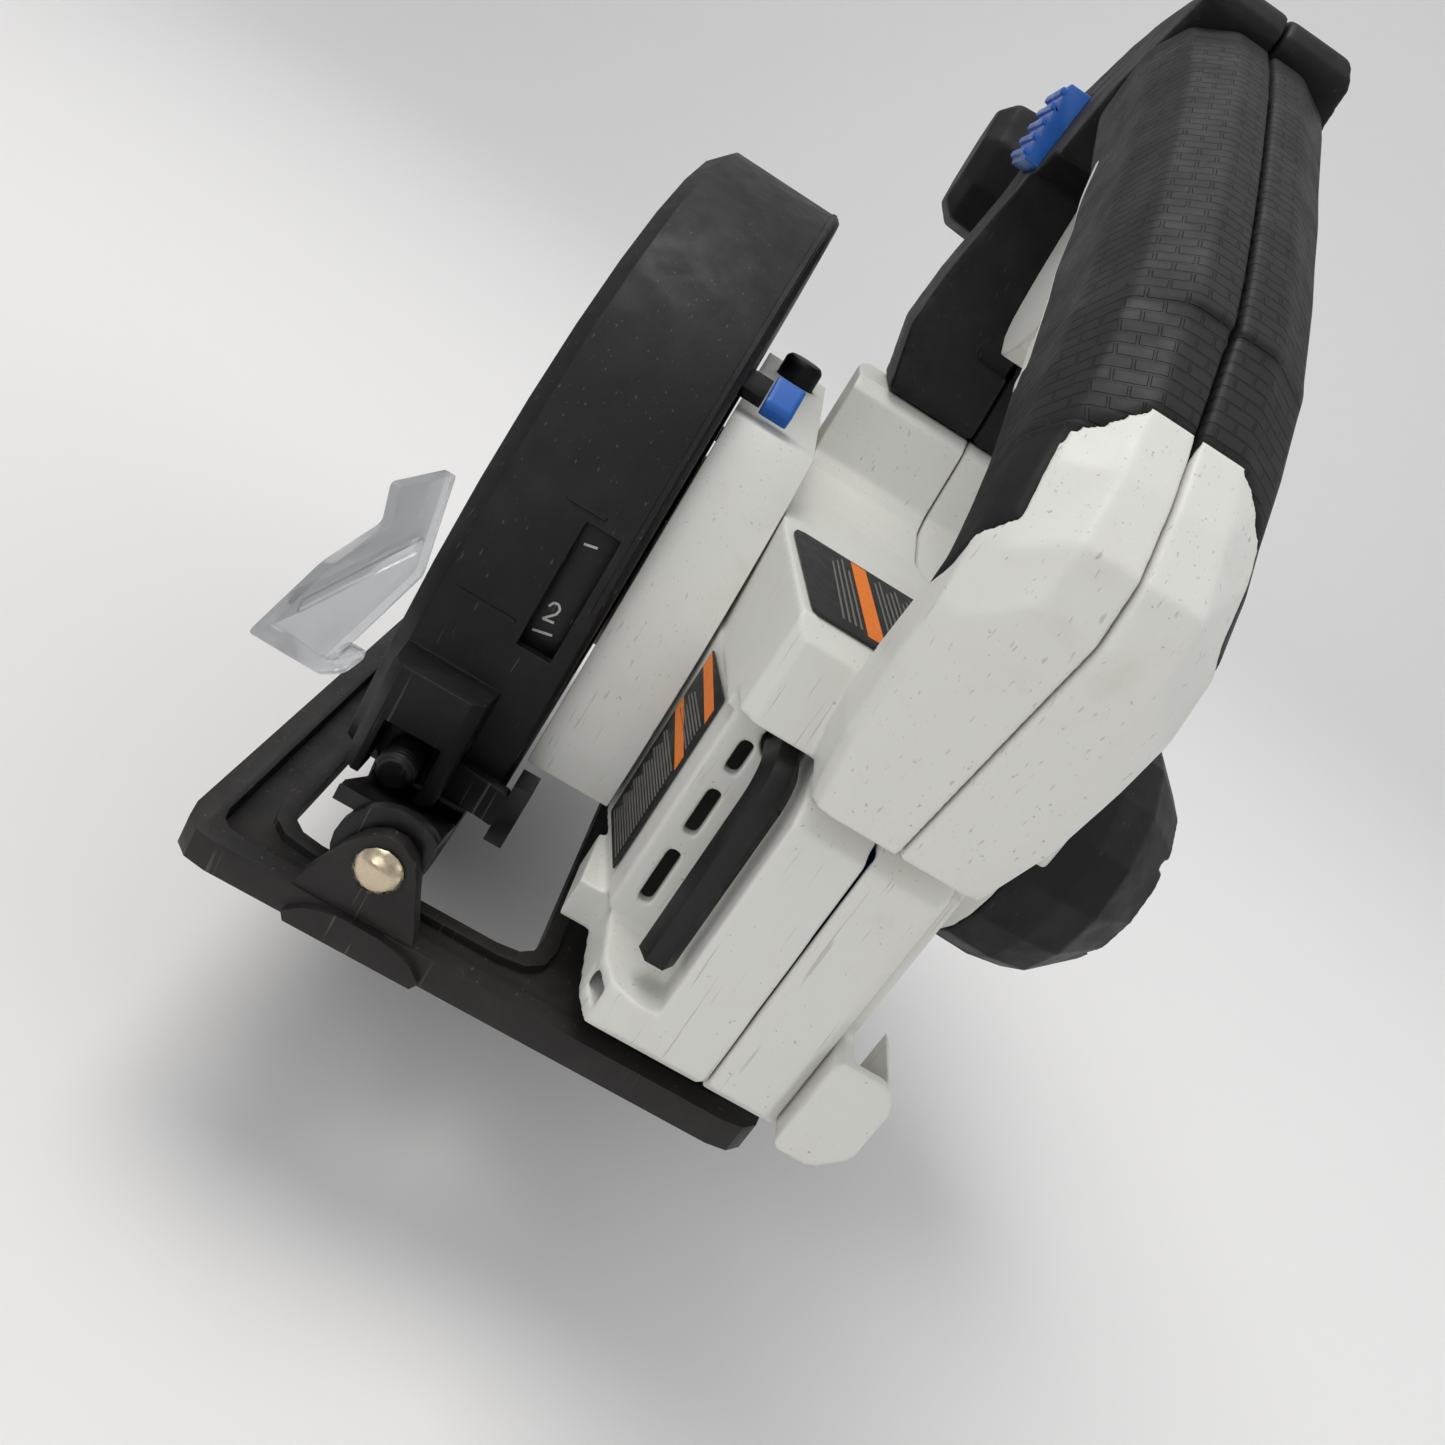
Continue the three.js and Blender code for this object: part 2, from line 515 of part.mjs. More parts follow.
// ---------------------------------------------------------------- white housing
const SIDE = [
  [-132, 10.5], [-130.5, 62], [-122, 63.5], [-122, 84], [-60, 84], [-29, 80], [-6, 83], [1, HUMP_TOP], [40, HUMP_TOP],
  [42, 100], [62, 100], [66, 84], [66, 60], [58, 38], [40, 24], [0, 17], [-58, 12], [-75, 10.5],
];
const FOOTPRINTS = [
  // z from, z to, outline in x and y
  [0, 21, [[-132, -13.7], [-132, 19], [-127, 23.5], [-103, 26.4], [-60, 27], [60, 27], [66, 10], [66, -10], [55, -13.7]]],
  [21, 63, [
    [-132, -13.7], [-132, 20], [-128, 24], [-108, 27.2], [-88, 31.8], [-83, 33], [30, 33], [50, 30], [62, 22], [66, 12],
    [66, -10], [55, -13.7],
  ]],
  [63, 84.01, [
    [-122, -17], [-122, 26.5], [-118, 27.5], [-78, 33], [25, 33], [48, 30], [62, 20], [66, 12], [66, -10], [55, -17],
  ]],
  [84, 120, [[-10, -25], [-10, 30], [25, 30], [45, 26], [58, 19], [66, 10], [66, -10], [58, -19], [45, -24]]],
];

function boxBody() {
  const side = prism('y', outline(SIDE, 3), -60, 60);
  const slabs = FOOTPRINTS.map(([low, high, points]) => prism('z', outline(points, 3), low, high));
  return side.intersect(join(...slabs));
}

const HEXKEY = { y: 17, x: -125, low: 25, high: 56.5, flats: 5.5, bend: 5, tip: -103 };
const POCKET = { x0: -140, x1: -113, y0: 12.7, y1: 40, z0: 20, z1: 66 };
const SCREWS = [
  // x, z, y of the head's outer face
  [-136, 88, -14.5], [-70, 76, -15], [-122, 15.5, -11.5], [52, 90, -17],
];

function whiteBody() {
  const outer = join(
    boxBody(),
    tube(SLEEVE, SKIN + GAP),
    cut(tube(COLUMN, 0), prism('y', border(GAP), -30, 30)),
    tube(CORE, SKIN + GAP),
    rod('y', MOTOR.x, MOTOR.z, MOTOR.shell, -46, 20, 28),
  );
  const pocketLiner = box(POCKET.x0, POCKET.x1 + WALL, POCKET.y0 - WALL, POCKET.y1, POCKET.z0 - WALL, POCKET.z1 + WALL);
  const column = tube(COLUMN.slice(1, -1), SKIN + GAP + WALL);
  const core = tube([gripAt(-6), ...GRIP.slice(1, -1)], SKIN + GAP + WALL);
  const rearRoom = cut(box(-129, -62, -11, 23.5, 13.5, 60.5), pocketLiner);
  const upperRoom = cut(box(-119, 30, -14, 24, 66, 77), pocketLiner);
  const noseRoom = box(10, 60, -10, 22, 44, 90);
  const humpRoom = box(6, 38, -20, 22, 85, HUMP_TOP - WALL);
  const motorRoom = rod('y', MOTOR.x, MOTOR.z, MOTOR.shell - WALL, -50, 29.5, 28);
  const shaftHole = rod('y', MOTOR.x, MOTOR.z, 13, 20, 40, 24);
  const spindleHole = rod('y', BLADE.x, BLADE.z, 10, 24, 40, 24);
  const bosses = SCREWS.map(([x, z, y]) => rod('y', x, z, 4.8, y + 1, 15, 12));
  const hollow = cut(join(column, core, rearRoom, upperRoom, noseRoom, humpRoom, motorRoom), ...bosses);
  const pocket = box(POCKET.x0, POCKET.x1, POCKET.y0, POCKET.y1, POCKET.z0, POCKET.z1);
  const keyHole = rod('x', HEXKEY.y, HEXKEY.high + HEXKEY.bend, 3.6, -120, -90, 12);
  const stemHole = join(rod('z', 54, 0, 2.8, 88, 102, 12), rod('z', 54, 0, 5.8, 85, 97.4, 16));
  const vents = [[25, 36.5], [40, 49.5], [53, 59.5]].map(([low, high]) => box(-117, -104.5, 20.5, 23, low, high));
  const triggerSlot = box(-54, 20, -9.3, 9.3, 120, TRIGGER_TOP);
  const holes = SCREWS.flatMap(([x, z, y]) => [
    rod('y', x, z, 2.1, y - 1, 12, 12),
    rod('y', x, z, 3.7, -60, y + 3.1, 12),
  ]);
  const louvres = [0, 1, 2, 3, 4].map((i) => box(-75 + i * 3, -49, -41 + i * 6, -38.5 + i * 6, MOTOR.z - 18, MOTOR.z + 18));
  const clip = box(-109, -92, 25, 32, 12.5, 20.5);
  const bearingSeat = ring('y', MOTOR.x, MOTOR.z, 10.3, MOTOR.shell - 1, 25, 29.5, 24);
  const stops = [-1, 1].map((side) => box(MOTOR.x + side * 30.2 - 1.5, MOTOR.x + side * 30.2 + 1.5, 1, 8, MOTOR.z - 12, MOTOR.z + 12));
  const ribs = [-45.4, -41].map((y) => rod('z', -69.6, y, 2.4, 51, 67, 12));
  const ribPlate = box(-69.6, -50, -47.4, -38.5, 51, 67).intersect(box(-80, -50, -46, -30, 0, 90));
  const shell = join(cut(join(outer, clip, ribPlate, ...ribs), hollow), bearingSeat, ...stops);
  return cut(shell, pocket, keyHole, stemHole, triggerSlot, shaftHole, spindleHole, ...vents, ...louvres, ...holes);
}
const shells = whiteBody();
add(body, 'housing_left', leftHalf(shells), white);
add(body, 'housing_right', rightHalf(shells), white);

SCREWS.forEach(([x, z, y], i) => {
  add(body, `housing_screw_${i + 1}`, turned('y', x, z, [
    [0, y + 0.2], [3.2, y + 0.2], [3.2, y + 2.7], [1.7, y + 2.7], [1.7, 11], [0, 11],
  ], 12), steel);
});

// ---------------------------------------------------------------- rubber grip and front arm
function rubberGrip() {
  const outer = join(tube(GRIP, 0), tube(COLUMN, 0).intersect(prism('y', border(0), -30, 30)));
  const bore = join(tube([gripAt(-4), ...GRIP.slice(1), gripAt(GRIP_END + 6)], SKIN), tube(COLUMN, SKIN));
  const slot = box(-54, 20, -9.3, 9.3, 120, TRIGGER_TOP);
  return cut(outer, bore, slot);
}
const grip = rubberGrip();
add(body, 'grip_left', leftHalf(grip), rubber);
add(body, 'grip_right', rightHalf(grip), rubber);

const ARM = [
  onHandle(GRIP_END + GAP, 0.2), [-27.5, 198.6], [-20, 199.5], [-2, 197.5], [22, 191], [36, 180], [41, 160], [40, 135], [37, 118],
  [36, HUMP_TOP + GAP], [1.5, HUMP_TOP + GAP], [1.5, 107], [6, 119], [12, 132.5], [15, 148], [11, 158], [-2, 163],
  onHandle(GRIP_END + GAP, 38),
];
const ARM_FRONT = [
  // half width, z
  [22.6, 100], [23, 107], [25.8, 119], [24.6, 132.5], [21.6, 152], [19.2, 176], [15.5, 194], [11, 205],
];
const LOCKOFF = { x: 22.5, z: 168, length: 24, height: 17, travel: 3.5 };

function frontArm() {
  const width = outline([
    ...ARM_FRONT.map(([y, z]) => [y, z]),
    ...ARM_FRONT.slice().reverse().map(([y, z]) => [-y, z]),
  ]);
  const outer = prism('y', outline(ARM, 1), -40, 40).intersect(prism('x', width, -60, 60));
  const inner = prism('y', outline([
    [-24, 192], [-4, 194], [20, 188], [33, 178], [38, 160], [37, 135], [34, 118], [33, HUMP_TOP + 3], [5, HUMP_TOP + 3],
    [9, 119], [15, 132.5], [18, 149], [13, 161], [-2, 166], [-14, 166],
  ]), -40, 40).intersect(prism('x', outline([
    ...ARM_FRONT.map(([y, z]) => [y - WALL, z]),
    ...ARM_FRONT.slice().reverse().map(([y, z]) => [-y + WALL, z]),
  ]), -60, 60));
  const slot = box(-54, 9.5, -9.3, 9.3, 120, TRIGGER_TOP);
  const { x, z, length, height } = LOCKOFF;
  const opening = box(x - length / 2 - GAP, x + length / 2 + GAP, -40, 40, z - height / 2 - GAP, z + height / 2 + GAP);
  const tail = tube([GRIP[GRIP.length - 2], GRIP[GRIP.length - 1]], SKIN);
  return cut(outer, inner, slot, opening, tail);
}
const arm = frontArm();
add(body, 'front_arm_left', leftHalf(arm), rubber);
add(body, 'front_arm_right', rightHalf(arm), rubber);

// ---------------------------------------------------------------- front auxiliary handle
function frontHandle() {
  const facets = [[-13, -6], [-5, -16], [7, -18], [14, -9], [14, 8], [6, 18], [-6, 17], [-14, 6]];
  const stations = [[-31, 0.72], [-27, 0.95], [-14, 1], [14, 1], [27, 0.95], [31, 0.72]];
  const knobBody = loft(stations.map(([y, k]) => facets.map(([x, z]) => new THREE.Vector3(75 + x * k, y, 159 + z * k))));
  const stem = prism('y', outline([[45, 100.6], [61, 100.3], [66, 112], [84, 150], [66, 152], [50, 116]], 1), -9, 9);
  return cut(join(stem, knobBody), rod('z', 54, 0, 2.8, 95, 122, 12));
}
add(body, 'front_handle', frontHandle(), rubber);
add(body, 'front_handle_screw', turned('z', 54, 0, [
  [0, 93.6], [5.5, 93.6], [5.5, 97.1], [2.5, 97.1], [2.5, 120], [0, 120],
], 16), steel);

// ---------------------------------------------------------------- motor cap, which holds the rear bearing
function motorCap() {
  const { x, z, end } = MOTOR;
  const outer = turned('y', x, z, [
    [0, -46.3], [32.8, -46.3], [33.2, -58], [31.8, -66.6], [22.5, end], [0, end],
  ], 16);
  const floor = end + 2.6;
  const hollow = turned('y', x, z, [[0, -46], [29.8, -46], [30.2, -58], [28.9, -65.4], [20, floor], [0, floor]], 16);
  const grooves = [z + 13, z - 12].map((height) => box(x - 27, x + 27, end - 1, end + 1.6, height - 1.1, height + 1.1));
  const slots = [-2, -1, 0, 1, 2].map((i) => box(x + i * 7 - 1.4, x + i * 7 + 1.4, end - 1, end + 8, z - 6, z + 6));
  const seat = ring('y', x, z, 9.3, 12, end + 2, -52, 20);
  return join(cut(outer, hollow, ...grooves, ...slots), cut(seat, ...slots));
}
add(body, 'motor_cap', motorCap(), black);

// ---------------------------------------------------------------- motor
const rotor = group(MOTOR.x, 0, MOTOR.z);
add(body, 'motor_can', ring('y', MOTOR.x, MOTOR.z, 24, MOTOR.can, -36, 6, 32), steel);

function slottedCore() {
  const slots = 12;
  const points = Array.from({ length: slots }, (_, i) => {
    const a = (i * 360) / slots;
    return [polar(22.5, a - 12), polar(22.5, a), polar(22.5, a + 12), polar(20, a + 13), polar(20, a + 17)];
  }).flat();
  return cut(prism('y', outline(points), -34, 2), rod('y', 0, 0, 4.3, -40, 10, 20));
}
add(rotor, 'armature', slottedCore(), copper);
add(rotor, 'commutator', ring('y', 0, 0, 4.3, 9.5, -46, -36, 24), copper);

function gearWheel(teeth, module, low, high, phase, bore) {
  const pitch = (teeth * module) / 2;
  const points = Array.from({ length: teeth }, (_, i) => {
    const a = phase + (i * 360) / teeth;
    const step = 360 / teeth;
    return [
      polar(pitch - module * 1.1, a - step * 0.32), polar(pitch + module * 0.8, a - step * 0.1),
      polar(pitch + module * 0.8, a + step * 0.1), polar(pitch - module * 1.1, a + step * 0.32),
    ];
  }).flat();
  const gear = prism('y', outline(points), low, high);
  return bore ? cut(gear, rod('y', 0, 0, bore, low - 1, high + 1, 24)) : gear;
}
const meshAngle = THREE.MathUtils.radToDeg(Math.atan2(MOTOR.z - BLADE.z, MOTOR.x - BLADE.x));
const pinion = gearWheel(GEAR.pinion, GEAR.module, GEAR.right, GEAR.left, meshAngle + 180 + 180 / GEAR.pinion, 0);
add(rotor, 'rotor_shaft_pinion', join(
  rod('y', 0, 0, 4, -57, GEAR.right + 0.1, 16), pinion, rod('y', 0, 0, 3.6, GEAR.left - 0.1, 48.6, 16),
), steel);

function fan() {
  const blades = Array.from({ length: 7 }, (_, i) => {
    const blade = new THREE.BoxGeometry(14, 8, 1.6).translate(16, 17, 0).rotateY((i * 2 * Math.PI) / 7);
    return solidOf(blade);
  });
  return cut(join(rod('y', 0, 0, 23, 12, 14, 24), rod('y', 0, 0, 8, 12, 21, 20), ...blades), rod('y', 0, 0, 4.3, 0, 30, 16));
}
add(rotor, 'cooling_fan', fan(), black);

add(body, 'rear_rotor_bearing', ring('y', MOTOR.x, MOTOR.z, 4.3, 9, -57.5, -52, 20), steel);
add(body, 'front_rotor_bearing', ring('y', MOTOR.x, MOTOR.z, 4.3, 10, 24, 30, 20), steel);
function brushHolder() {
  const { x, z } = MOTOR;
  const plate = ring('y', x, z, 11.5, 29.8, -45.8, -43.8, 24);
  const cage = (side) => cut(
    box(x - 5, x + 5, -43.9, -36.3, side > 0 ? z + 12 : z - 23, side > 0 ? z + 23 : z - 12),
    box(x - 3.3, x + 3.3, -42.3, -37.2, z - 30, z + 30),
  );
  return join(plate, cage(1), cage(-1));
}
add(body, 'brush_holder_plate', brushHolder(), black);
const brush = (side) => box(MOTOR.x - 3, MOTOR.x + 3, -42, -37.5,
  side > 0 ? MOTOR.z + 9.8 : MOTOR.z - 21, side > 0 ? MOTOR.z + 21 : MOTOR.z - 9.8);
add(body, 'carbon_brush_upper', brush(1), carbon);
add(body, 'carbon_brush_lower', brush(-1), carbon);

// ---------------------------------------------------------------- spindle and blade
const spindle = group(BLADE.x, 0, BLADE.z);
add(spindle, 'spindle_shaft', cut(
  join(rod('y', 0, 0, 5, 33.6, 39.6, 20), rod('y', 0, 0, 7, 39.5, 66, 24)),
  rod('y', 0, 0, 4, 56, 67, 20),
), steel);
add(spindle, 'drive_gear', gearWheel(GEAR.wheel, GEAR.module, GEAR.right, GEAR.left, meshAngle, 7.3), steel);
add(body, 'tail_bearing', ring('y', BLADE.x, BLADE.z, 5.3, 9, 33.8, 37.8, 20), steel);
add(body, 'spindle_bearing', ring('y', BLADE.x, BLADE.z, 7.3, 14, 48, 57, 24), steel);
add(spindle, 'inner_flange', turned('y', 0, 0, [
  [7.3, 60.8], [19, 60.8], [19, 64.9], [9.6, 64.9], [9.6, 66.4], [7.3, 66.4],
], 24), steel);

function bladeDisc() {
  const { y, radius, thickness, teeth } = BLADE;
  const points = Array.from({ length: teeth }, (_, i) => {
    const a = (i * 360) / teeth;
    return [polar(radius - 9, a), polar(radius - 7.5, a + 2), polar(radius, a + 2.4), polar(radius - 1, a + 6), polar(radius - 5.5, a + 13)];
  }).flat();
  const slots = [0, 1, 2, 3].map((i) => {
    const slot = new THREE.BoxGeometry(12, 10, 1).translate(radius - 14, y, 0).rotateY((i * Math.PI) / 2 + 0.16);
    return solidOf(slot);
  });
  return cut(prism('y', outline(points), y - thickness / 2, y + thickness / 2), rod('y', 0, 0, 10, 50, 80, 24), ...slots);
}
add(spindle, 'blade', bladeDisc(), steel);
add(spindle, 'outer_flange', ring('y', 0, 0, 4.3, 17, 67.1, 70, 24), steel);
const hexagon = (flats, turn = 0) =>
  outline(Array.from({ length: 6 }, (_, i) => polar(flats / Math.sqrt(3), turn + i * 60)));
add(spindle, 'blade_bolt', join(rod('y', 0, 0, 3.7, 57, 70.4, 16), rod('y', 0, 0, 8, 70.3, 71.8, 20), prism('y', hexagon(12), 71.7, 76)),
  blackSteel);

// ---------------------------------------------------------------- lower guard
const lower = group(BLADE.x, 0, BLADE.z);
function lowerGuard() {
  const { radius, wall, right, left, from, to } = LOWER;
  const disc = prism('y', sector(0, 0, 0, radius, from, to, 20), right, right + wall);
  const hub = rod('y', 0, 0, 31, right, right + wall, 24);
  const rim = prism('y', sector(0, 0, radius - wall, radius, from, to, 20), right, left);
  const lip = prism('y', sector(0, 0, radius - 11, radius, from, to, 20), left - wall, left);
  return cut(join(disc, hub, rim, lip), rod('y', 0, 0, HUB.outer + GAP, right - 1, right + 4, 24));
}
add(lower, 'lower_guard', lowerGuard(), black);

function guardLever() {
  const a = LEVER_ANGLE;
  const plate = prism('y', sector(0, 0, 24.5, 89.2, a - 4, a + 4, 2), 54.9, 57.2);
  const hubPlate = prism('y', sector(0, 0, 24.5, 31, a - 60, a + 60, 10), 54.9, 57.2);
  const finger = prism('y', sector(0, 0, 86.2, 89.2, a - 1.5, a + 1.5, 2), 46.5, 57.2);
  return join(plate, hubPlate, finger);
}
add(lower, 'guard_lever', guardLever(), blackSteel);
add(lower, 'guard_lever_tip', prism('y', outline([
  ...arc(0, 0, 85.6, LEVER_ANGLE + 2.2, LEVER_ANGLE - 2.6, 2), ...arc(0, 0, 90, LEVER_ANGLE - 2.6, LEVER_ANGLE + 2.2, 2),
], 0.6), 40.4, 46.2), blue);

// ---------------------------------------------------------------- deflector
function deflector() {
  const lean = 0.28;
  const rootX = -88;
  const panel = [[-88, 45], [-104, 29.5], [-111, 31], [-126.5, 40], [-116.5, 51], [-105.7, 57], [-108.5, 64.5], [-94, 66]];
  const rim = [[-100, 31.6], [-104, 29.5], [-111, 31], [-126.5, 40], [-124.5, 42.2], [-111.5, 34], [-104.6, 32.8], [-101, 34]];
  const shear = new THREE.Matrix4().set(1, 0, 0, 0, -lean, 1, 0, rootX * lean, 0, 0, 1, 0, 0, 0, 0, 1);
  const sheared = (points, y0, y1) => {
    const geometry = new THREE.ExtrudeGeometry(outline(points, 1), { depth: y1 - y0, bevelEnabled: false, curveSegments: 2 });
    geometry.applyMatrix4(new THREE.Matrix4().set(1, 0, 0, 0, 0, 0, -1, y1, 0, 1, 0, 0, 0, 0, 0, 1));
    geometry.applyMatrix4(shear);
    return solidOf(geometry);
  };
  return join(sheared(panel, 81.4, 83), sheared(rim, 78.6, 81.5), sheared([[-92, 50], [-118, 42], [-118, 44.5], [-92, 53]], 82.9, 84));
}
add(body, 'deflector', deflector(), clear);

// ---------------------------------------------------------------- labels
function sideLabel() {
  // It follows the slant of the left wall, from (-108, 27.2) to (-88, 31.8).
  const p = [[-106.6, 27.9], [-89, 31.95]];
  const out = [-0.08, 0.36];
  const shape = outline([[p[0][0], p[0][1]], [p[1][0], p[1][1]], [p[1][0] + out[0], p[1][1] + out[1]], [p[0][0] + out[0], p[0][1] + out[1]]]);
  return prism('z', shape, 24, 61);
}
add(body, 'side_label', sideLabel(), labelInk);
const TOP_LABEL = [[-119, 19.5], [-119, 25.5], [-117, 26], [-82, 31], [-80, 30], [-80, 4], [-82, 3], [-117, 3], [-119, 4]];
add(body, 'top_label', prism('z', outline(TOP_LABEL, 1), SADDLE + GAP, SADDLE + GAP + 0.4), labelInk);

// ---------------------------------------------------------------- electrics and battery seat
const RAILS = { rear: -112, front: -66, inner: -14, outer: -22, low: 12, high: 60 };
add(body, 'controller_board', box(-108, -73, -8, -6.2, 22, 56), blue);
add(body, 'trigger_switch', (() => {
  const geometry = new THREE.BoxGeometry(22, 12, 9).rotateY(-HANDLE.angle).translate(-47, 0, 171);
  return solidOf(geometry);
})(), black);

function batteryRails() {
  const { rear, front, inner, outer, low, high } = RAILS;
  const rail = (z0, z1, hook0, hook1) => join(
    box(rear, front, outer, inner, z0, z1),
    box(rear, front, outer, outer + 2.5, hook0, hook1),
  );
  const back = box(-126, front, inner - 2.4, inner, low, high);
  const block = box(-103.7, -72.3, -19, inner, 28, 44);
  const slits = [0, 1].map((i) => box(-105, -78, -20, -16, 30.9 + i * 8, 32.5 + i * 8));
  const catchBody = outline([[inner, 10], [-21.5, 10], [-26, 15], [-26, 26.5], [-23.5, 30], [inner, 30]], 1);
  const catchRoom = outline([[-17, 15], [-21.5, 15], [-23.4, 17.5], [-23.4, 35], [-17, 35]]);
  const catcher = cut(prism('x', catchBody, -133.5, -118), prism('x', catchRoom, -131, -110));
  return cut(join(back, rail(low, low + 3, low + 2.5, low + 7), rail(high - 3, high, high - 7, high - 2.5), block, catcher),
    ...slits);
}
add(body, 'battery_rails', batteryRails(), white);
['positive', 'negative'].forEach((pole, i) => {
  const low = 31.2 + i * 8;
  add(body, `terminal_${pole}`, box(-101, -78.3, -22, -16.3, low, low + 1), brass);
});

// ---------------------------------------------------------------- controls
const TRIGGER = { x: 2, z: 166, half: 9 };
const trigger = group(TRIGGER.x, 0, TRIGGER.z);
add(trigger, 'trigger_button', prism('y', outline([
  [0, 4], [-10, 4], [-48, -14], [-48, -25], [-39, -37], [-24, -42.5], [-10, -38], [-3, -26], [2, -8], [4, 0],
], 3), -TRIGGER.half, TRIGGER.half), white);

const lockOff = group(LOCKOFF.x, 0, LOCKOFF.z);
function lockOffButton() {
  const { length, height } = LOCKOFF;
  const pad = box(-length / 2, length / 2, 15, 24, -height / 2, height / 2);
  const ribs = [0, 1, 2, 3, 4].map((i) => box(-length / 2, length / 2, 23.5, 25.2, -height / 2 + 1 + i * 3.3, -height / 2 + 2.6 + i * 3.3));
  return join(pad, ...ribs, box(-4, 4, -12, 15.2, -4, 4));
}
add(lockOff, 'lock_off_button', lockOffButton(), blue);

const KEY = group(HEXKEY.x, HEXKEY.y, HEXKEY.high);
function hexKey() {
  const { low, high, flats, bend, tip, x } = HEXKEY;
  const leg = prism('z', hexagon(flats, 30), low - high, 0.05);
  const bendPath = arc(bend, 0, bend, 180, 90, 6).map(([u, v]) => [u, v]);
  const pathPoints = bendPath.map(([u, v]) => new THREE.Vector3(u, 0, v));
  const corner = loft(pathPoints.map((point, i) => {
    const a = THREE.MathUtils.degToRad(180 - (90 * i) / 6);
    return Array.from({ length: 6 }, (_, k) => {
      const [p, q] = polar(flats / Math.sqrt(3), 30 + k * 60);
      const r = bend - p;
      return new THREE.Vector3(bend + r * Math.cos(a), q, r * Math.sin(a));
    });
  }));
  const short = prism('x', hexagon(flats, 0), bend - 0.05, tip - x);
  return join(leg, corner, short.translate([0, 0, bend]));
}
add(KEY, 'hex_key', hexKey(), blackSteel);

const lockButton = group();
add(lockButton, 'spindle_lock_button', turned('z', SPINDLE_LOCK.x, SPINDLE_LOCK.y, [
  [0, 86], [3, 86], [3, 89], [SPINDLE_LOCK.radius, 89], [SPINDLE_LOCK.radius, 98], [4, 99], [0, 99],
], 16), black);

export default saw;
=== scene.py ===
"""Looks for a cordless circular saw: moulded shells, rubber, coated steel, labels and fine detail round the CAD frame."""
import json
import math

import bmesh
import bpy
from mathutils import Matrix, Vector

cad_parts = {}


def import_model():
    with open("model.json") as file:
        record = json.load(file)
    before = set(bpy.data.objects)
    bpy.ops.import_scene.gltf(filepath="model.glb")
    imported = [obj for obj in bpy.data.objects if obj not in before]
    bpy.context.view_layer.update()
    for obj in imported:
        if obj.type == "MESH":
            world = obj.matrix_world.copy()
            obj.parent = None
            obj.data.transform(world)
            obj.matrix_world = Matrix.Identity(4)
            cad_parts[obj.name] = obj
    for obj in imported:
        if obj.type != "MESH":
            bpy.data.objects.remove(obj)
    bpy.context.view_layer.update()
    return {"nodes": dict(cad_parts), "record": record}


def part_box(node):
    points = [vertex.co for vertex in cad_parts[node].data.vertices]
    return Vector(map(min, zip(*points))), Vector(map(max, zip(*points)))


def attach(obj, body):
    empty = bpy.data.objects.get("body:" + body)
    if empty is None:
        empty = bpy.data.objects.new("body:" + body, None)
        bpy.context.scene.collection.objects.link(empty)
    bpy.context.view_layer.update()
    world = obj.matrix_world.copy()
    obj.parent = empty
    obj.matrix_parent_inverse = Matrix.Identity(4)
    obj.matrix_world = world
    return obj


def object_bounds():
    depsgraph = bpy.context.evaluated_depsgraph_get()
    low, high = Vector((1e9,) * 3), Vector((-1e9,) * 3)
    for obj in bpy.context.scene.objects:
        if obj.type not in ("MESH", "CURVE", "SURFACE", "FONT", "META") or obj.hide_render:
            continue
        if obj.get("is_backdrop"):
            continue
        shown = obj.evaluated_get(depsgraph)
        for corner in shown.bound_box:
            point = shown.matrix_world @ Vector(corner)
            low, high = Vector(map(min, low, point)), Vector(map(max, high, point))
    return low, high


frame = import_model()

NODES = frame["nodes"]
MM = 0.001
HANDLE_START = (-0.115, 0.1475)  # x and z of the start of the handle's top line
HANDLE_ANGLE = math.radians(29.3)


# ---------------------------------------------------------------- materials
def srgb(r, g, b):
    """A linear colour from 0-255 display values."""
    return tuple((c / 255 / 12.92) if c < 10 else ((c / 255 + 0.055) / 1.055) ** 2.4 for c in (r, g, b)) + (1.0,)


